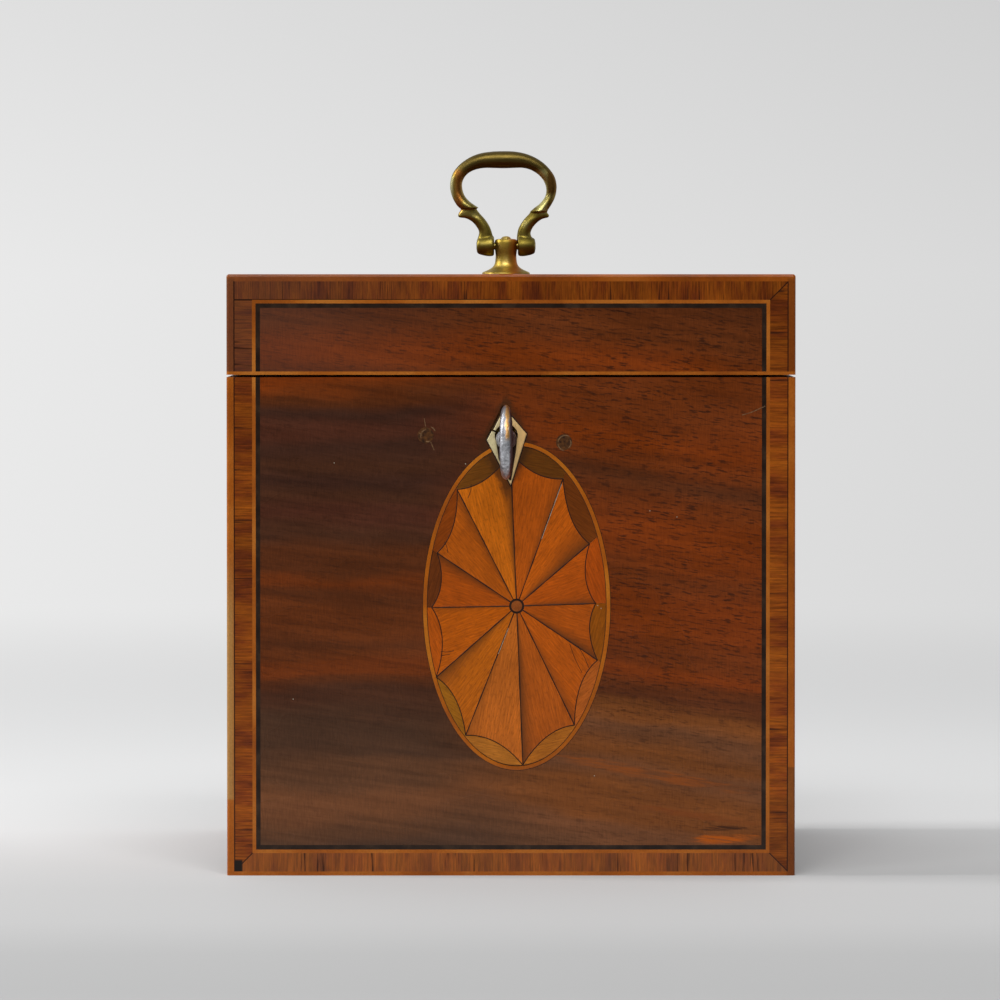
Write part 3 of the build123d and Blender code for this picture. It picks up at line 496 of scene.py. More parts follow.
# Boxwood stringing and edging, scraped and polished: close straight grain, honey brown under old polish
def boxwood(name, where="", tones=("894613", "a15819", "b06a27")):
    material, shader, place = startMaterial(name, "a4642c", **figure["polish"])
    x, y, z = split(place)
    colour = ramp(grainNoise(place, (14, 14, 14), 3.0), list(zip((0.32, 0.5, 0.68), tones)))
    if where == "case":  # the left edging has gone pale and grey where hands and light reached it
        worn = edging["worn"]
        share = product(ranged(x, *worn["across"]), ranged(z, *worn["low"]), ranged(z, *worn["foot"]), worn["share"])
        colour = blended(share, colour, worn["tone"])
        # and the right one is darker from a joint down to the foot
        joint = edging["joint"]
        share = product(ranged(x, *joint["across"]), ranged(z, *joint["foot"]))
        colour = blended(share, colour, joint["tone"])
    elif where == "lid":  # the upright edgings have darkened
        upright = edging["upright"]
        out = maths("ABSOLUTE", x)
        share = product(ranged(out, *upright["across"]), ranged(z, *upright["low"]))
        colour = blended(share, colour, upright["tone"])
        colour = hazed(place, colour)
    speck = grainNoise(place, (0.5, 0.5, 0.5), 2.0, 0.6, shift=12.0)
    colour = shaded(colour, speck, (0.86, 1.1))
    finished(shader, colour, speck, rough=dulledOnTop(place))
    return material


# Ebonised pearwood line, dyed through and polished: near black with brown where the dye has worn
def ebonised():
    material, shader, place = startMaterial("ebonised pearwood, polished", "2e2018", **figure["polish"])
    tint = grainNoise(place, (3.0, 3.0, 3.0), 4.0)
    colour = ramp(tint, [(0.35, "20150f"), (0.55, "2b1e16"), (0.7, "3a2a1e")])
    finished(shader, colour, rough=dulledOnTop(place))
    return material


# Satinwood leaf, sawn thin and scorched in hot sand: bright grain, dark along the scorched edge
def sandShaded(name, leafTones, scorched):
    material, shader, place = startMaterial(name, "b4652a", **figure["polish"])
    tree = material.node_tree
    tone = addNode("Attribute", {}, tree, attribute_name="tone").node.outputs["Fac"]
    colour = ramp(tone, [(i / len(leafTones), code) for i, code in enumerate(leafTones)], "CONSTANT")
    lie = addNode("UVMap", {}, tree, uv_map="grain")
    fibre = grainNoise(lie, (0.3, 3.5, 1.0), 3.0, 0.6)
    fleck = grainNoise(lie, (0.3, 0.9, 1.0), 2.0, 0.5, shift=9.0)
    colour = shaded(colour, fibre, (0.72, 1.28))
    colour = shaded(colour, grainNoise(place, (5, 5, 7), 2.0), (0.88, 1.12))
    colour = blended(ranged(fleck, 0.56, 0.68, 0.0, 0.4), colour, "6e350c")
    if scorched:
        burn = addNode("Attribute", {}, tree, attribute_name="burn").node.outputs["Fac"]
        ragged = ranged(fibre, 0.3, 0.7, 0.8, 1.15)
        burn = product(maths("MULTIPLY", burn, ragged, use_clamp=True), 0.86)
        colour = blended(burn, colour, "472a12")
    finished(shader, grimed(place, colour), fibre, 0.15, 0.03)
    return material


# One wood of an even kind, with a soft cloud and fine grain of a given run
def plainWood(name, look, dark, run, rough):
    material, shader, place = startMaterial(name, look, Roughness=rough, IOR=1.45, Specular_IOR_Level=0.25)
    tint = grainNoise(place, run, 4.0, 0.6)
    fine = grainNoise(place, [r / 6 for r in run], 3.0, 0.6, shift=20.0)
    colour = shaded(ramp(tint, [(0.35, dark), (0.65, look)]), fine, (0.85, 1.1))
    finished(shader, colour, fine, 0.25, 0.06)
    return material


# Metals and bone

# Stripes of another tone, each from one place across to another and above a height: painted highlights, shade and
# reflections on the metal
paintedLight = {
    # the key's bow is greyer on its upper left, with a warm painted reflection of the wood along its edge and
    # painted brown shade and reflection on its right
    "key": [(-9.0, -1.2, 93.6, "929398"), (-1.2, -0.35, 93.2, "c4945a"), (-0.3, 9.0, 0.0, "5e4b4c")],
    # painted light on the handle: a dark top bar and a browner right side as painted shade, pale painted highlights
    # on its right inner and left outer sides, and a warm painted reflection on its left inner side; the post has a
    # warm painted reflection on its right
    "loop": [(8.0, 20.0, 145.0, "6e5024"), (5.8, 7.8, 141.0, "c0b878"), (-16.0, -13.0, 140.0, "b4b290"),
             (-12.2, -10.6, 141.0, "94602a"), (-30.0, 30.0, 150.2, "5f5026")],
    "post": [(0.0, 1.9, 0.0, "bd7426")],
}


# A metal whose colour, dullness and surface vary in patches of a size in mm
def patchyMetal(name, tones, dull, patch, pits, stripes=(), soft=0.15):
    material, shader, place = startMaterial(name, tones[1], Metallic=1.0, Roughness=sum(dull) / 2)
    cloud = grainNoise(place, (patch, patch, patch), 4.0, 0.6)
    grit = grainNoise(place, (0.35, 0.35, 0.35), 3.0, 0.6, shift=15.0)
    colour = shaded(ramp(cloud, list(zip((0.3, 0.5, 0.7), tones))), grit, (0.85, 1.1))
    for left, right, above, tone in stripes:
        x, y, z = split(place)
        edge = maths("ADD", x, ranged(cloud, 0.0, 1.0, -0.5, 0.5))
        share = product(ranged(edge, left - soft, left + soft), ranged(edge, right + soft, right - soft),
                        ranged(z, above - 1, above))
        colour = blended(share, colour, tone)
    gloss = ranged(cloud, 0.3, 0.7, dull[1], dull[0])
    finished(shader, colour, grit, pits, 0.08, gloss)
    return material


# Bone, sawn, scraped and handled: cream going to honey, with fine dark pores
def scrapedBone():
    material, shader, place = startMaterial("bone, scraped and handled", "d9c69a", Roughness=0.3, IOR=1.52)
    honey = ranged(split(place)[0], -3.5, 2.5)
    colour = blended(honey, "cdbf92", "dcb274")
    colour = shaded(colour, grainNoise(place, (1.5, 1.5, 3.0), 3.0), (0.86, 1.08))
    pore = grainNoise(place, (0.12, 0.12, 0.6), 2.0, 0.5, shift=8.0)
    finished(shader, blended(ranged(pore, 0.64, 0.72, 0.0, 0.5), colour, "6b5330"))
    return material


# Puts a material on nodes of the frame
def dress(material, *names):
    for name in names:
        slots = nodes[name].data.materials
        slots.clear()
        slots.append(material)
    return material


veneer = "mahogany veneer, French polished, "
dress(mahogany(veneer + "front", 0, 2, "front", 0.0, 9.0, 0.8), "front_veneer")
dress(mahogany(veneer + "lid front", 0, 2, "lid", -20.0, 6.0, 0.8), "lid_front_veneer")
dress(mahogany(veneer + "sides", 1, 2, "plain", 0.0, 4.0, 0.6),
      "left_veneer", "right_veneer", "lid_left_veneer", "lid_right_veneer")
dress(mahogany(veneer + "back", 0, 2, "plain", 8.0, 4.0, 0.6), "back_veneer", "lid_back_veneer")
dress(mahogany(veneer + "top", 0, 1, "top", 52.0, 4.0, 0.6), "lid_top_veneer")
dress(crossbanding("rosewood crossbanding, polished, case", False), "front_crossbanding")
dress(crossbanding("rosewood crossbanding, polished, lid", True), "lid_crossbanding")
dress(boxwood("boxwood edging, worn and polished", "case", ("864410", "9c5214", "ac6524")), "body_edging")
dress(boxwood("boxwood edging, polished, lid", "lid", ("76390c", "8e460d", "9b5318")), "lid_edging")
dress(boxwood("boxwood line, polished"), "front_boxwood_line", "lid_boxwood_line", "lid_rim_line", "patera_border")
dress(ebonised(), "front_ebony_line", "lid_ebony_line", "patera_boss_ring")
dress(plainWood("filler, dark wax and wood plug", "5c3717", "2a170b", (0.7, 0.7, 0.7), 0.4), "hole_fillings")
dress(plainWood("satinwood boss, polished", "96501c", "7a3b12", (1, 1, 1), 0.38), "patera_boss_dot")
dress(plainWood("pine carcase, planed and toned", "8a6238", "6b4724", (30, 4, 3), 0.65),
      "base_board", "front_board", "back_board", "left_board", "right_board", "lid_front_board", "lid_back_board",
      "lid_left_board", "lid_right_board", "lid_top_board")
dress(patchyMetal("lead foil, pressed flat and dulled", ("6d6f70", "85878a", "9b9da0"), (0.45, 0.65), 6.0, 0.5),
      "well_lining")
dress(patchyMetal("brass, sheet, brushed", ("8d7434", "a98d47", "bfa45a"), (0.28, 0.42), 5.0, 0.2),
      "lock_plate", "lock_cap", "link_plate", "body_hinge_leaves", "lid_hinge_leaves")
dress(patchyMetal("steel, forged and worn bright", ("6e6a6c", "a9a8ac", "cfcfd4"), (0.16, 0.4), 1.6, 0.5),
      "lock_bolt", "lock_spring", "lock_drill_pin", "hinge_pins")
dress(patchyMetal("iron screw, blued with age", ("2f2c2a", "4a4643", "63605d"), (0.35, 0.55), 1.5, 0.4),
      "lock_screws", "link_plate_screws", "body_hinge_screws", "lid_hinge_screws")
# the handle, post and key metals carry stripes of painted highlights, shade and reflections
agedBrass = dress(patchyMetal("brass, cast, filed and aged", ("66581f", "857533", "a89a5c"), (0.34, 0.52), 3.5, 0.03,
                              paintedLight["loop"], 0.5), "handle_pin", "handle_nut", "handle_washer")
postBrass = patchyMetal("brass, turned and handled bright", ("8f7a30", "ac903e", "c6ad62"), (0.42, 0.56), 3.0, 0.05,
                        paintedLight["post"], 0.7)
keySteel = patchyMetal("steel, forged, tinned and worn", ("7c7d81", "b9babf", "e8e9ed"), (0.34, 0.5), 0.8, 1.0,
                       paintedLight["key"])
borderWood = boxwood("boxwood border, polished", "", ("8a4512", "a8590f", "b76e1c"))
# dark glue lines, and the same dark serves as painted shade inside the keyhole
darkGlueAndShade = plainWood("glue line, animal glue gone dark", "2e1709", "1f0f07", (3, 3, 3), 0.5)
jointPale = plainWood("glue line, pale old filler", "b9ad99", "8f8371", (1, 1, 1), 0.6)
print("materials made and put on the frame's nodes")


# Oval fan

fan = {
    "centre": (1.2, 57.0),
    "oval": (19.3, 34.2),  # half sizes inside the border
    "boss": 1.6,
    "angles": [117, 92.3, 70, 40.6, 1.8, -33.9, -64.1, -87.8, -111.5, -138.5, -179, -213.8],
    "shares": [0.97, 0.95, 0.935, 0.885, 0.865, 0.945, 0.97, 0.985, 0.975, 0.985, 0.93, 0.93],
    "sag": 0.13,
    "proud": 0.02,
    "joint": 0.05,  # half the gap between two leaves
    "crown": 14,  # power of the fall towards an inlay's edges
    "arcPoints": 41,
    "leafRows": 49,
    "scallopRows": 17,
    "scallopReach": 0.984,  # share of the oval that the scallops reach
    # how strongly and how far across each leaf was scorched
    "burn": [1.0, 0.6, 1.0, 0.9, 1.0, 0.7, 1.0, 0.45, 0.9, 0.5, 0.95, 0.7],
    "reach": [0.36, 0.26, 0.5, 0.24, 0.38, 0.3, 0.4, 0.2, 0.38, 0.18, 0.4, 0.34],
    "leafTones": ["c2650e", "ae510c", "b8570b", "ab4d09", "a34b0a", "b0520a", "a65010", "b35e1a", "b15b0b",
                  "b05406", "a24908", "aa520b"],
    "scallopTones": ["693d0e", "60360c", "67320a", "9f4407", "884806", "a9561a", "a25d18", "a6641e",
                     "935b0f", "a94d07", "5f2d0b", "7f3907"],
    # width of each line and how far it stands proud
    "line": (0.22, 0.045),
    "paleLine": (0.12, 0.06),
    "crackLine": (0.12, 0.035),
    # the border's strip and the joints on its two sides, and how far out from the oval they lie
    "borderStrip": (0.07, 0.82, 0.025),
    "borderJoints": [(-0.4, 0.13, 0.035), (0.52, 0.11, 0.03)],
    "bright": {70: (12, 24), -111.5: (3, 9)},  # the rays with pale glue in them, and the points it runs between
    "cracks": [[(-8.4, 82.8), (-8.5, 81.4), (-9.1, 79.8)], [(-14.0, 70.5), (-13.5, 69.4), (-13.3, 68.2)],
               [(-14.8, 47.4), (-13.4, 47.3), (-12.0, 47.6)], [(-14.8, 46.5), (-12.9, 46.8)],
               [(12.4, 49.0), (13.5, 45.9), (15.0, 42.9)], [(14.1, 48.6), (15.4, 46.4), (16.4, 44.0)]],
}


# End of a ray: the border's oval at that angle, times the ray's share
def rayEnd(angle, share):
    ray = heading(np.radians(angle))
    length = share / np.hypot(ray[..., 0] / fan["oval"][0], ray[..., 1] / fan["oval"][1])
    return length[..., None] * ray


# Hollow arc between two ray ends: their chord, bent towards the centre by a share of its length
def leafArc(start, end, steps):
    u = np.linspace(0, 1, steps)[:, None]
    chord = end - start
    middle = (start + end) / 2
    inward = -middle / np.linalg.norm(middle)
    return start + u * chord + 4 * u * (1 - u) * fan["sag"] * np.linalg.norm(chord) * inward


# Face laid from an inner line to an outer line, crowned a little and dropping at its edge, with a wall to the back
def inlayPatch(inner, outer, steps, proud, depth=0.6):
    v = np.linspace(0, 1, steps)[:, None, None]
    flat = inner[None] * (1 - v) + outer[None] * v + np.asarray(fan["centre"])
    u = np.linspace(-1, 1, len(inner))[None, :, None]
    crown = (1 - np.abs(u) ** fan["crown"]) * (1 - np.abs(2 * v - 1) ** fan["crown"])
    face = np.concatenate([flat[..., :1], front - proud * crown + 0.02, flat[..., 1:]], -1)
    # the wall and the back are the same grid, pushed in, so the patch is a closed leaf of veneer
    back = face.copy()
    back[..., 1] = front + depth
    rim = np.concatenate([face[:, :1], face, face[:, -1:]], 1)
    rim[:, 0, 1] = rim[:, -1, 1] = front + depth
    top, bottom = (np.concatenate([row[:, :1], row, row[:, -1:]], 1) for row in (back[:1], back[-1:]))
    return np.concatenate([top, rim, bottom]), back


# Adds the grids of leaf number i to a store, with its tone and the lie of its grain
def addInlay(store, grids, i, lie):
    for grid in grids:
        store["grids"].append((grid, False, False))
        store["tone"].append(np.full(grid.shape[:2], (i + 0.5) / total))
        store["uv"].append((grid[..., [0, 2]] - centre) @ lie.T)


leaves, scallops = ({"grids": [], "tone": [], "uv": []} for _ in range(2))
leafBurn, darkLines, paleLines = [], [], []
total, steps = len(fan["angles"]), fan["arcPoints"]
centre = np.asarray(fan["centre"])
lineWidth, lineProud = fan["line"]
for i in range(total):
    first, second = fan["angles"][i], fan["angles"][(i + 1) % total]
    second -= 360 if second > first else 0
    start, end = rayEnd(first, fan["shares"][i]), rayEnd(second, fan["shares"][(i + 1) % total])
    arc = leafArc(start, end, steps)
    # the leaf is drawn in from both rays by half the joint
    side = arc / np.linalg.norm(arc, axis=1)[:, None]
    inner = side * fan["boss"]
    squeeze = np.linspace(1, -1, steps)[:, None] * fan["joint"]
    normal = np.stack([side[:, 1], -side[:, 0]], -1)
    rows = fan["leafRows"]
    patch = inlayPatch(inner + normal * squeeze * 0.6, arc * 0.998 + normal * squeeze, rows, fan["proud"])
    u = np.linspace(0, 1, steps)[None, :] + np.zeros((rows, 1))
    burn = np.clip((u - (1 - fan["reach"][i])) / fan["reach"][i], 0, 1) ** 1.4 * fan["burn"][i]
    middle = np.radians((first + second) / 2)
    lie = np.array([[-np.sin(middle), np.cos(middle)], [np.cos(middle), np.sin(middle)]])
    addInlay(leaves, patch, i, lie)
    # the face has one more row and column of points on each side than the back, for its wall
    leafBurn += [np.pad(burn, 1, mode="edge"), burn]
    # scallop: from the leaf's arc out to the border
    ring = rayEnd(np.linspace(first, second, steps), 1.0) * fan["scallopReach"]
    base = arc * 1.002 + normal * squeeze * 0.5
    addInlay(scallops, inlayPatch(base, ring, fan["scallopRows"], fan["proud"] * 0.8), i, lie[::-1])
    reach = np.linspace(fan["boss"] / np.linalg.norm(start), 1, 25)[:, None]
    line = start * reach + centre
    swell = lineWidth * (0.8 + 0.4 * np.sin(np.linspace(0, 9, 25) + i) ** 2)
    darkLines.append(frontLine(line, swell, lineProud))
    darkLines.append(frontLine(arc + centre, lineWidth * 0.9, lineProud))
    if first in fan["bright"]:
        low, high = fan["bright"][first]
        paleLines.append(frontLine(line[low:high] + np.array([[0.1, 0.0]]), *fan["paleLine"]))
leafWood = sandShaded("satinwood, sand shaded and polished", fan["leafTones"], True)
scallopWood = sandShaded("sycamore, stained and polished", fan["scallopTones"], False)
makePiece("patera_leaves", leaves["grids"], leafWood, "box", ["patera_fan_leaves"],
          {"tone": leaves["tone"], "burn": leafBurn}, leaves["uv"])
makePiece("patera_scallop_inlay", scallops["grids"], scallopWood, "box", ["patera_scallops"],
          {"tone": scallops["tone"]}, scallops["uv"])

# the border, with a dark joint on each side of it
oval = heading(np.radians(np.linspace(0, 360, 180, endpoint=False)))
halfSizes = np.asarray(fan["oval"])
for out, width, proud in fan["borderJoints"]:
    darkLines.append(frontLine(oval * (halfSizes + out) + centre, width, proud, True))
out, width, proud = fan["borderStrip"]
strip = frontLine(oval * (halfSizes + out) + centre, width, proud, True, 12)
makePiece("patera_border_strip", [strip], borderWood, "box", ["patera_border"])
for crack in fan["cracks"]:
    darkLines.append(frontLine(smoothLine(crack, 10), *fan["crackLine"]))
makePiece("patera_joint_lines", darkLines, darkGlueAndShade, "box")
makePiece("patera_pale_glue", paleLines, jointPale, "box")

# marks of use on the front: filled screw holes, a scratch and specks of dust
marks = {
    "waxed": [  # centre x, z, radius, then the arc's start and end in degrees
        (-17.7, 92.9, 1.35, 95, 200), (-17.5, 92.7, 1.0, 240, 300), (-17.4, 93.4, 1.5, 20, 70),
        (11.5, 91.4, 1.6, 60, 170), (11.5, 91.4, 1.6, 185, 260), (11.5, 91.4, 1.15, -60, 40)],
    "strokes": [[(-18.0, 94.9), (-18.3, 96.6)], [(-16.9, 91.6), (-16.2, 89.9)], [(-19.4, 93.6), (-18.7, 93.0)],
                [(48.7, 97.3), (50.6, 97.9), (53.6, 99.2)]],
    "specks": [(-37.3, 87.2), (29.3, 77.1), (35.0, 75.8), (-46.0, 37.3), (-9.6, 87.0), (17.6, 21.1), (18.3, 57.1),
               (19.0, 56.5)],
    # width and how far each stands proud
    "waxLine": (0.26, 0.015),
    "strokeLine": (0.16, 0.012),
    "speckLine": (0.2, 0.05),
}
paleMarks, dust = [], []
for x, z, radius, low, high in marks["waxed"]:
    turn = np.radians(np.linspace(low, high, 24))
    swell = marks["waxLine"][0] * np.sin(np.linspace(0.1, np.pi - 0.1, 24)) ** 0.5
    paleMarks.append(frontLine(np.array([x, z]) + radius * heading(turn), swell, marks["waxLine"][1]))
for stroke in marks["strokes"]:
    paleMarks.append(frontLine(smoothLine(stroke, 12), *marks["strokeLine"]))
for x, z in marks["specks"]:
    dust.append(frontLine([[x - 0.1, z], [x, z + 0.02], [x + 0.1, z]], *marks["speckLine"]))
waxPale = plainWood("filling wax, dried and rubbed", "80603f", "4c3421", (0.5, 0.5, 0.5), 0.5)
makePiece("front_wax_marks", paleMarks, waxPale, "box")
makePiece("front_dust", dust, jointPale, "box")
print("oval fan laid,", total, "leaves")


# Escutcheon

plate = {
    "outline": [(-0.5, 6.6), (4.3, 1.05), (0.95, -9.75), (-4.1, -0.3)],
    "slot": [(-2.2, 0.7), (-1.47, -5.1), (0.1, -8.9), (1.05, -8.7), (1.54, -5.5), (1.99, -2.8), (2.3, 0.71)],
    "round": 2.4,  # the keyhole's upper part
    "rise": 0.7,  # and how far its middle lies over the key's axis
    "proud": 0.3,
    "bevel": 0.22,
    "least": 0.5,  # least width of the plate beside the keyhole
    "crack": (155.0, 163.0),  # the directions in degrees between which the plate has split
    "sunk": 0.95,  # share of its reach that the sliver above the split keeps
    "hidden": 1.2,  # how deep the plate's edges go into the front
    "halo": (1.02, 0.34, 0.03),  # the line of dirt round the plate: its share of the outline, width and height
    "shankClear": 1.85,  # radius round the key's shank that stays free
}


# Distance from the keyhole's centre to a straight-sided outline, at each angle
def outlineReach(outline, turn):
    points = np.asarray(outline, float)
    after = np.roll(points, -1, 0)
    ray = heading(turn)[:, None]
    edge = (after - points)[None]
    cross = ray[..., 0] * edge[..., 1] - ray[..., 1] * edge[..., 0]
    length = (points[None, :, 0] * edge[..., 1] - points[None, :, 1] * edge[..., 0]) / cross
    share = (points[None, :, 0] * ray[..., 1] - points[None, :, 1] * ray[..., 0]) / cross
    hit = (length > 0) & (share >= -1e-6) & (share <= 1 + 1e-6)
    return np.where(hit, length, np.inf).min(1)


kite = np.asarray(plate["outline"]) - np.array([0, plate["rise"]])
corners = np.degrees(np.arctan2(kite[:, 1], kite[:, 0]))
crackLow, crackHigh = plate["crack"]
sweep = np.concatenate([np.linspace(crackHigh, crackLow + 360, 361), corners % 360, corners % 360 + 360])
sweep = np.unique(np.round(sweep[(sweep >= crackHigh) & (sweep <= crackLow + 360)], 4))
turn = np.radians(sweep)
toX, toZ = np.cos(turn), np.sin(turn)
middleZ = keyZ + plate["rise"]
outer = outlineReach(kite, turn)
# the sliver above the crack has sunk inwards a little
outer = outer * np.where(sweep > 360 + corners[0] + 1, plate["sunk"], 1.0)
slotReach = outlineReach(np.asarray(plate["slot"]) - np.array([0, plate["rise"]]), turn)
hole = np.where(np.isfinite(slotReach) & (toZ < 0), np.maximum(slotReach, plate["round"]), plate["round"])
hole = np.minimum(hole, outer - plate["least"])
proud, bevel, hidden = plate["proud"], plate["bevel"], plate["hidden"]
radii = np.stack([outer - 0.02, outer, outer - 0.05, outer - bevel, hole + bevel, hole + 0.06, hole, hole], -1)
depths = front - np.array([-hidden, 0.02, proud * 0.6, proud, proud, proud * 0.7, 0.02, -hidden])
band = np.stack([radii * toX[:, None], np.broadcast_to(depths, radii.shape), radii * toZ[:, None]], -1)
band += np.array([keyX, 0, middleZ])
makePiece("escutcheon_plate", [(capped(band), False, True)], scrapedBone(), "box", ["escutcheon"])
grow, width, proud = plate["halo"]
halo = outer[:, None] * heading(turn) * grow + np.array([keyX, middleZ])
makePiece("escutcheon_dirt", [frontLine(halo, width, proud)], darkGlueAndShade, "box")
# painted shade: a dark sheet under the plate stands for the shade inside the keyhole, from just clear of the shank
# out to the hole's edge
below = toZ < 0
drop = -plate["rise"] * toZ[below]
clear = drop + np.sqrt(drop**2 + plate["shankClear"] ** 2 - plate["rise"] ** 2)
reach = np.linspace(clear, np.maximum(hole[below] + 0.1, clear + 0.05), 7)
shade = np.stack([keyX + reach * toX[below], np.full(reach.shape, front - 0.06), middleZ + reach * toZ[below]], -1)
shadeBack = shade.copy()
shadeBack[..., 1] = front + 0.3
wallLow, wallHigh = (np.stack([shade[i], shadeBack[i]]) for i in (0, -1))
wallLeft, wallRight = (np.stack([shade[:, i], shadeBack[:, i]]) for i in (0, -1))
shadeGrids = [(grid, False, False) for grid in (shade, shadeBack, wallLow, wallHigh, wallLeft, wallRight)]
makePiece("keyhole_shade", shadeGrids, darkGlueAndShade, "box")
print("escutcheon cut")


# Key

key = {
    "bowX": -1.05,
    "bowDrop": 0.4,  # how far the bow hangs under the key's axis
    "bowY": -72.5,
    "bowHalf": (6.5, 7.82),  # half sizes in y and z
    "band": 2.6,
    "thick": 2.75,
    "spindle": 8.4,  # half height at which the thickness would end
    "square": (0.8, 0.85),  # powers under 1 make the band's section squarer, outwards and in x
    "hollow": 0.25,  # share of the thickness that its outer edge loses
    "profile": [  # radius and y, from the barrel's mouth to the bow
        (0.8, -56.4), (0.8, -52.9), (0.9, -52.8), (1.5, -52.8), (1.6, -52.95), (1.6, -58.9), (1.75, -59.25),
        (2.1, -59.35), (2.2, -59.6), (2.2, -60.6), (2.1, -60.9), (1.7, -61.0), (1.35, -61.3), (1.2, -61.8),
        (1.3, -62.3), (1.75, -62.6), (1.85, -62.95), (1.75, -63.3), (1.3, -63.6), (1.15, -64.4), (1.2, -65.2),
        (1.5, -65.8), (1.5, -66.6), (1.1, -67.4), (0, -67.9)],
    "bit": [(-55.4, -1.2), (-55.4, -5.3), (-55.05, -5.3), (-55.05, -4.3), (-54.45, -4.3), (-54.45, -5.3),
            (-52.85, -5.3), (-52.85, -1.2)],
    "bitHalf": 0.6,
    "leanFrom": -61.0,  # where the stem begins to lean, as y, and over what length
    "leanOver": 6.0,
}

# The bow is a ring in the y-z plane: a band goes round an oval, and its thickness in x shrinks towards
# the top and bottom like a spindle
lap = np.linspace(0, 2 * np.pi, 128, endpoint=False)[:, None]
around = np.linspace(0, 2 * np.pi, 40, endpoint=False)[None, :]
halfY, halfZ = (h - key["band"] / 2 for h in key["bowHalf"])
midY, midZ = halfY * np.cos(lap), halfZ * np.sin(lap)
outY, outZ = np.cos(lap) * halfZ, np.sin(lap) * halfY
size = np.hypot(outY, outZ)
outY, outZ = outY / size, outZ / size
squareOut, squareX = key["square"]
radial = key["band"] / 2 * (np.sign(np.cos(around)) * np.abs(np.cos(around)) ** squareOut)
ringY, ringZ = midY + outY * radial, midZ + outZ * radial
thick = key["thick"] / 2 * np.sqrt(np.clip(1 - np.abs(ringZ / key["spindle"]) ** 3, 0.05, 1))
thick = thick * (1 - key["hollow"] * (np.cos(around) > 0) * np.abs(np.cos(around)) ** 3)
ringX = thick * np.sign(np.sin(around)) * np.abs(np.sin(around)) ** squareX
bow = np.stack([key["bowX"] + ringX, key["bowY"] + ringY, keyZ - key["bowDrop"] + ringZ], -1)
shank = lathe([(0, -56.4)] + key["profile"], (keyX, 0, keyZ), "y", 64)
# the stem leans over to the bow, which stands a little to the left
shank[..., 0] += np.clip((key["leanFrom"] - shank[..., 1]) / key["leanOver"], 0, 1) * (key["bowX"] - keyX)
bitLine = np.asarray(key["bit"])
sides = [keyX - key["bitHalf"], keyX + key["bitHalf"]]
tooth = np.stack([np.stack([np.full(len(bitLine), x), bitLine[:, 0], keyZ + bitLine[:, 1]], -1) for x in sides])
makePiece("key_turned", [(bow, True, True), (shank, False, True), (tooth, False, True)], keySteel, "key",
          ["key"])
print("key turned")


# Handle

# Paired points of the outer and inner edge, in the photo crop's own units, from the post's centre and the lid
handle = {
    "unit": 0.01967,
    "origin": (831, 1440),
    "loop": [
        (325, 712, 532, 702), (290, 682, 486, 672), (250, 622, 424, 628), (220, 548, 368, 560), (205, 450, 341, 450),
        (226, 338, 358, 380), (292, 238, 402, 322), (400, 152, 476, 280), (530, 95, 582, 257), (660, 73, 690, 257),
        (800, 67, 800, 260), (940, 73, 915, 256), (1080, 105, 1025, 256), (1210, 170, 1120, 284),
        (1310, 258, 1204, 342), (1374, 352, 1256, 410), (1397, 450, 1279, 488), (1386, 560, 1266, 575),
        (1348, 648, 1205, 655), (1308, 712, 1140, 705), (1290, 745, 1095, 745)],
    "leftArm": [
        (335, 712, 505, 716), (300, 762, 524, 742), (294, 797, 548, 772), (385, 818, 585, 812), (448, 852, 620, 858),
        (502, 912, 655, 920), (530, 972, 677, 985), (520, 1020, 688, 1040), (505, 1080, 694, 1100),
        (510, 1130, 694, 1150)],
    "rightArm": [
        (1278, 742, 1100, 742), (1310, 775, 1092, 762), (1312, 800, 1062, 792), (1235, 825, 1022, 838),
        (1175, 868, 988, 890), (1122, 935, 962, 950), (1106, 990, 954, 1000), (1122, 1035, 950, 1040),
        (1132, 1080, 950, 1090), (1128, 1130, 950, 1140)],
    "depth": 1.2,  # half depth of the arms
    "pivot": 6.2,  # height over the lid
    "knob": [(0, 2.6), (1.9, 2.6), (2.15, 2.75), (2.26, 3.1), (2.28, 3.75), (2.2, 4.4), (2.08, 5.0), (1.92, 5.6),
             (1.74, 6.05), (1.58, 6.28), (1.25, 6.42), (0, 6.45)],
    "post": [
        (0, -6.2), (1.5, -6.2), (1.5, 0.02), (5.2, 0.02), (5.25, 0.12), (5.2, 0.34), (4.95, 0.5), (4.5, 0.68),
        (3.9, 0.95), (3.35, 1.25), (2.9, 1.6), (2.6, 2.0), (2.42, 2.5), (2.33, 3.1), (2.28, 3.7), (2.28, 4.3),
        (2.36, 4.9), (2.46, 5.5), (2.5, 6.2), (2.5, 6.9), (2.44, 7.3), (2.25, 7.6), (1.9, 7.72), (1.3, 7.76),
        (1.08, 7.82), (0.98, 8.0), (0.75, 8.2), (0.4, 8.32), (0, 8.36)],
    "halfDepth": (1.1, 1.9),  # least and most along the loop
    "voxel": 0.13,
    "soften": (0.6, 18),  # strength and rounds of the smoothing
}


# Crop units turned to mm in the row frame
def fromCrop(rows):
    rows = np.asarray(rows, float)
    x0, y0 = handle["origin"]
    unit = handle["unit"]
    return np.stack([handleX + (rows[:, 0] - x0) * unit, lidTop + (y0 - rows[:, 1]) * unit,
                     handleX + (rows[:, 2] - x0) * unit, lidTop + (y0 - rows[:, 3]) * unit], -1)


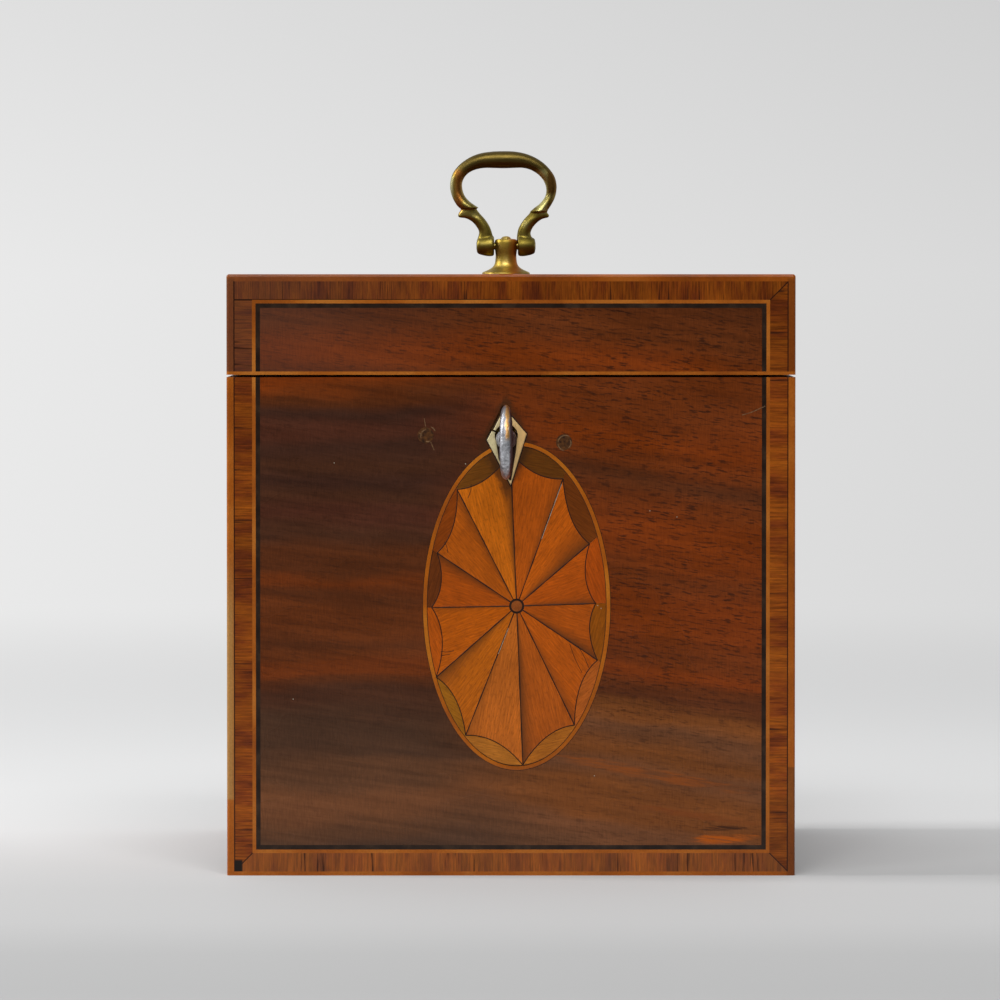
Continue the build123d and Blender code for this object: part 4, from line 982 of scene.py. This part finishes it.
loopRails = smoothLine(fromCrop(handle["loop"]), 200)
width = np.linalg.norm(loopRails[:, :2] - loopRails[:, 2:], axis=1) / 2
handleGrids = [(railTube(loopRails, np.clip(width, *handle["halfDepth"]), 40), False, True)]
for arm, side in (("leftArm", -1), ("rightArm", 1)):
    rails = smoothLine(fromCrop(handle[arm]), 90)
    handleGrids.append((railTube(rails, np.full(90, handle["depth"]), 40), False, True))
    knob = [(r, side * x) for r, x in handle["knob"]]
    handleGrids.append((lathe(knob, (handleX, 0, lidTop + handle["pivot"]), "x", 64), False, True))
loop = makePiece("handle_cast_loop", handleGrids, agedBrass, "handle", ["handle_loop"])
fuse = loop.modifiers.new("fuse", "REMESH")
fuse.mode = "VOXEL"
fuse.voxel_size = handle["voxel"] * mm
fuse.use_smooth_shade = True
soften = loop.modifiers.new("soften", "SMOOTH")
soften.factor, soften.iterations = handle["soften"]

post = lathe(handle["post"], (handleX, 0, lidTop), "z")
makePiece("handle_turned_post", [(post, False, True)], postBrass, "lid", ["handle_post"])
print("handle cast")


# Room

studio = {
    "scale": 0.2108,  # mm of the front in one pixel of the photograph
    "distance": 1390.0,  # mm from the camera to the front
    "middle": 511.0,  # pixel column of the case's middle
    "horizon": 274.2,  # pixel row of the camera's height, which is the lid's top
    "picture": 1000,  # pixels
    "sensor": 36.0,
    "left": "e9e9e9",  # the backdrop at the photograph's left and right edge
    "right": "d9d9d9",
    "edge": 0.076,  # how far across that edge lies for each step ahead
    "floorSize": 40000,
    # the floor's tone over y in mm, darker towards the camera: a painted falloff of light
    "floorNear": (-320.0, 180.0),
    "floorTones": [(0.08, "a3a3a3"), (0.2, "a8a8a8"), (0.32, "b5b5b5"), (0.46, "bcbcbc"), (0.57, "c5c5c5"),
                   (0.75, "d3d3d3"), (1.0, "d8d8d8")],
    "tableEnd": (-420.0, -760.0, 0.0, 0.92),
    "haze": (250.0, 1100.0),  # distances between which the floor fades into the backdrop
    # as y, where polished metal begins to see the backdrop and where the backdrop's tone turns even: first in
    # mm over the floor, then as directions in the room
    "floorBehind": (-60.0, 60.0),
    "floorEven": (-400.0, -900.0),
    "roomBehind": (-0.2, 0.3),
    "roomEven": (-0.05, -0.4),
    "roomLight": (-0.9, 0.9, 0.02, 0.85),  # from behind the camera to behind the box
    # painted shade on the backdrop: the wall darkens upwards
    "rising": (0.0, 0.042, 1.0, 0.91),  # the wall darkens upwards
}


# Share of a ray that sees the backdrop: all of it from the camera or through glass, and from polished metal
# only as far as the place lies behind the case
def seenBy(paths, behind):
    seen = maths("MAXIMUM", paths["Is Camera Ray"], paths["Is Transmission Ray"])
    return maths("MAXIMUM", seen, product(paths["Is Glossy Ray"], behind))


# Tone of the backdrop, with a painted falloff of light to the right, and even behind the camera
def backdropTone(slide, even):
    share = chosen(even, ranged(slide, -studio["edge"], studio["edge"]), 0.5)
    return blended(share, studio["left"], studio["right"])


camera = bpy.data.cameras.new("photo camera")
cameraObject = bpy.data.objects.new("photo camera", camera)
bpy.context.scene.collection.objects.link(cameraObject)
pixels = studio["distance"] / studio["scale"]
camera.sensor_width = studio["sensor"]
camera.lens = studio["sensor"] * pixels / studio["picture"]
camera.clip_start, camera.clip_end = 0.05, 100
tilt = math.atan((studio["picture"] / 2 - studio["horizon"]) / pixels)
across = (studio["picture"] / 2 - studio["middle"]) * studio["scale"]
cameraObject.location = (across * mm, (front - studio["distance"]) * mm, lidTop * mm)
cameraObject.rotation_euler = (math.pi / 2 - tilt, 0, 0)
bpy.context.scene.camera = cameraObject

# floor: a wide pale sheet whose squares are small near the box and large far away
lines = 65
across = np.linspace(-1, 1, lines)
wide = np.sign(across) * (np.abs(across) ** 3) * studio["floorSize"]
floorX, floorY = np.meshgrid(wide, wide, indexing="ij")
floorGrid = np.stack([floorX, floorY, np.zeros((lines, lines))], -1)
floorFaces = gridFaces(lines, lines, False, False, 0)[:, ::-1]
floorMesh = bpy.data.meshes.new("floor")
floorMesh.from_pydata((floorGrid.reshape(-1, 3) * mm).tolist(), [], floorFaces.tolist())
floor = bpy.data.objects.new("floor", floorMesh)
bpy.context.scene.collection.objects.link(floor)

floorPaint, shader, place = startMaterial("floor, pale matt board", "dcdcdc", Roughness=0.9, IOR=1.3)
tree = floorPaint.node_tree
x, y = split(place)[:2]
# painted falloff of light: the floor's tone ramps from darker near the camera to paler behind the box
tone = ramp(ranged(y, *studio["floorNear"]), studio["floorTones"])
# the table ends in front of the camera's view, and past it the room is dark for light that bounces
paths = tree.nodes.new("ShaderNodeLightPath").outputs
dark = product(ranged(y, *studio["tableEnd"]), maths("SUBTRACT", 1.0, paths["Is Camera Ray"]))
finished(shader, blended(dark, tone, "101010"))
# far off it fades into the backdrop
far = addNode("VectorMath", {0: place}, operation="LENGTH").node.outputs["Value"]
far = ranged(far, *studio["haze"], smooth=True)
share = product(far, seenBy(paths, ranged(y, *studio["floorBehind"])))
slide = maths("DIVIDE", x, maths("ADD", y, studio["distance"] - front))
hazeTone = backdropTone(slide, ranged(y, *studio["floorEven"]))
haze = addNode("Emission", {"Color": hazeTone, "Strength": 1.0})
shown = addNode("MixShader", {0: share, 1: shader.outputs[0], 2: haze})
tree.links.new(shown, tree.nodes["Material Output"].inputs["Surface"])
floor.data.materials.append(floorPaint)

world = bpy.data.worlds.new("studio")
bpy.context.scene.world = world
world.use_nodes = True
tree = world.node_tree
tree.nodes.clear()
# the room is dark behind the camera and pale elsewhere; the camera itself sees a pale wall, with a painted falloff
# of light to the right and upwards
x, y, z = split(tree.nodes.new("ShaderNodeTexCoord").outputs["Generated"])
level = ranged(y, *studio["roomLight"], smooth=True)
room = addNode("Background", {"Color": linear("f4f5f6"), "Strength": level})
wallTone = backdropTone(x, ranged(y, *studio["roomEven"]))
wall = addNode("Background", {"Color": wallTone, "Strength": ranged(z, *studio["rising"])})
seen = seenBy(tree.nodes.new("ShaderNodeLightPath").outputs, ranged(y, *studio["roomBehind"]))
shown = addNode("MixShader", {0: seen, 1: room, 2: wall})
tree.links.new(shown, tree.nodes.new("ShaderNodeOutputWorld").inputs["Surface"])

lamps = {
    "left window": {"at": (-1.5, 0.0, 0.98), "size": (0.35, 0.7), "power": 20.5},
    "front high": {"at": (0.1, -1.15, 1.3), "size": (0.8, 0.8), "power": 16.0},
    "front left": {"at": (-0.6, -1.2, 1.1), "size": (0.8, 0.8), "power": 7.0},
}
for name, lamp in lamps.items():
    data = bpy.data.lights.new(name, "AREA")
    data.shape = "RECTANGLE"
    data.size, data.size_y = lamp["size"]
    data.energy = lamp["power"]
    item = bpy.data.objects.new(name, data)
    item.location = lamp["at"]
    item.rotation_euler = (Vector((0, 0, 0.06)) - Vector(lamp["at"])).to_track_quat("-Z", "Y").to_euler()
    bpy.context.scene.collection.objects.link(item)
bpy.context.scene.view_settings.view_transform = "Standard"
print("room lit")
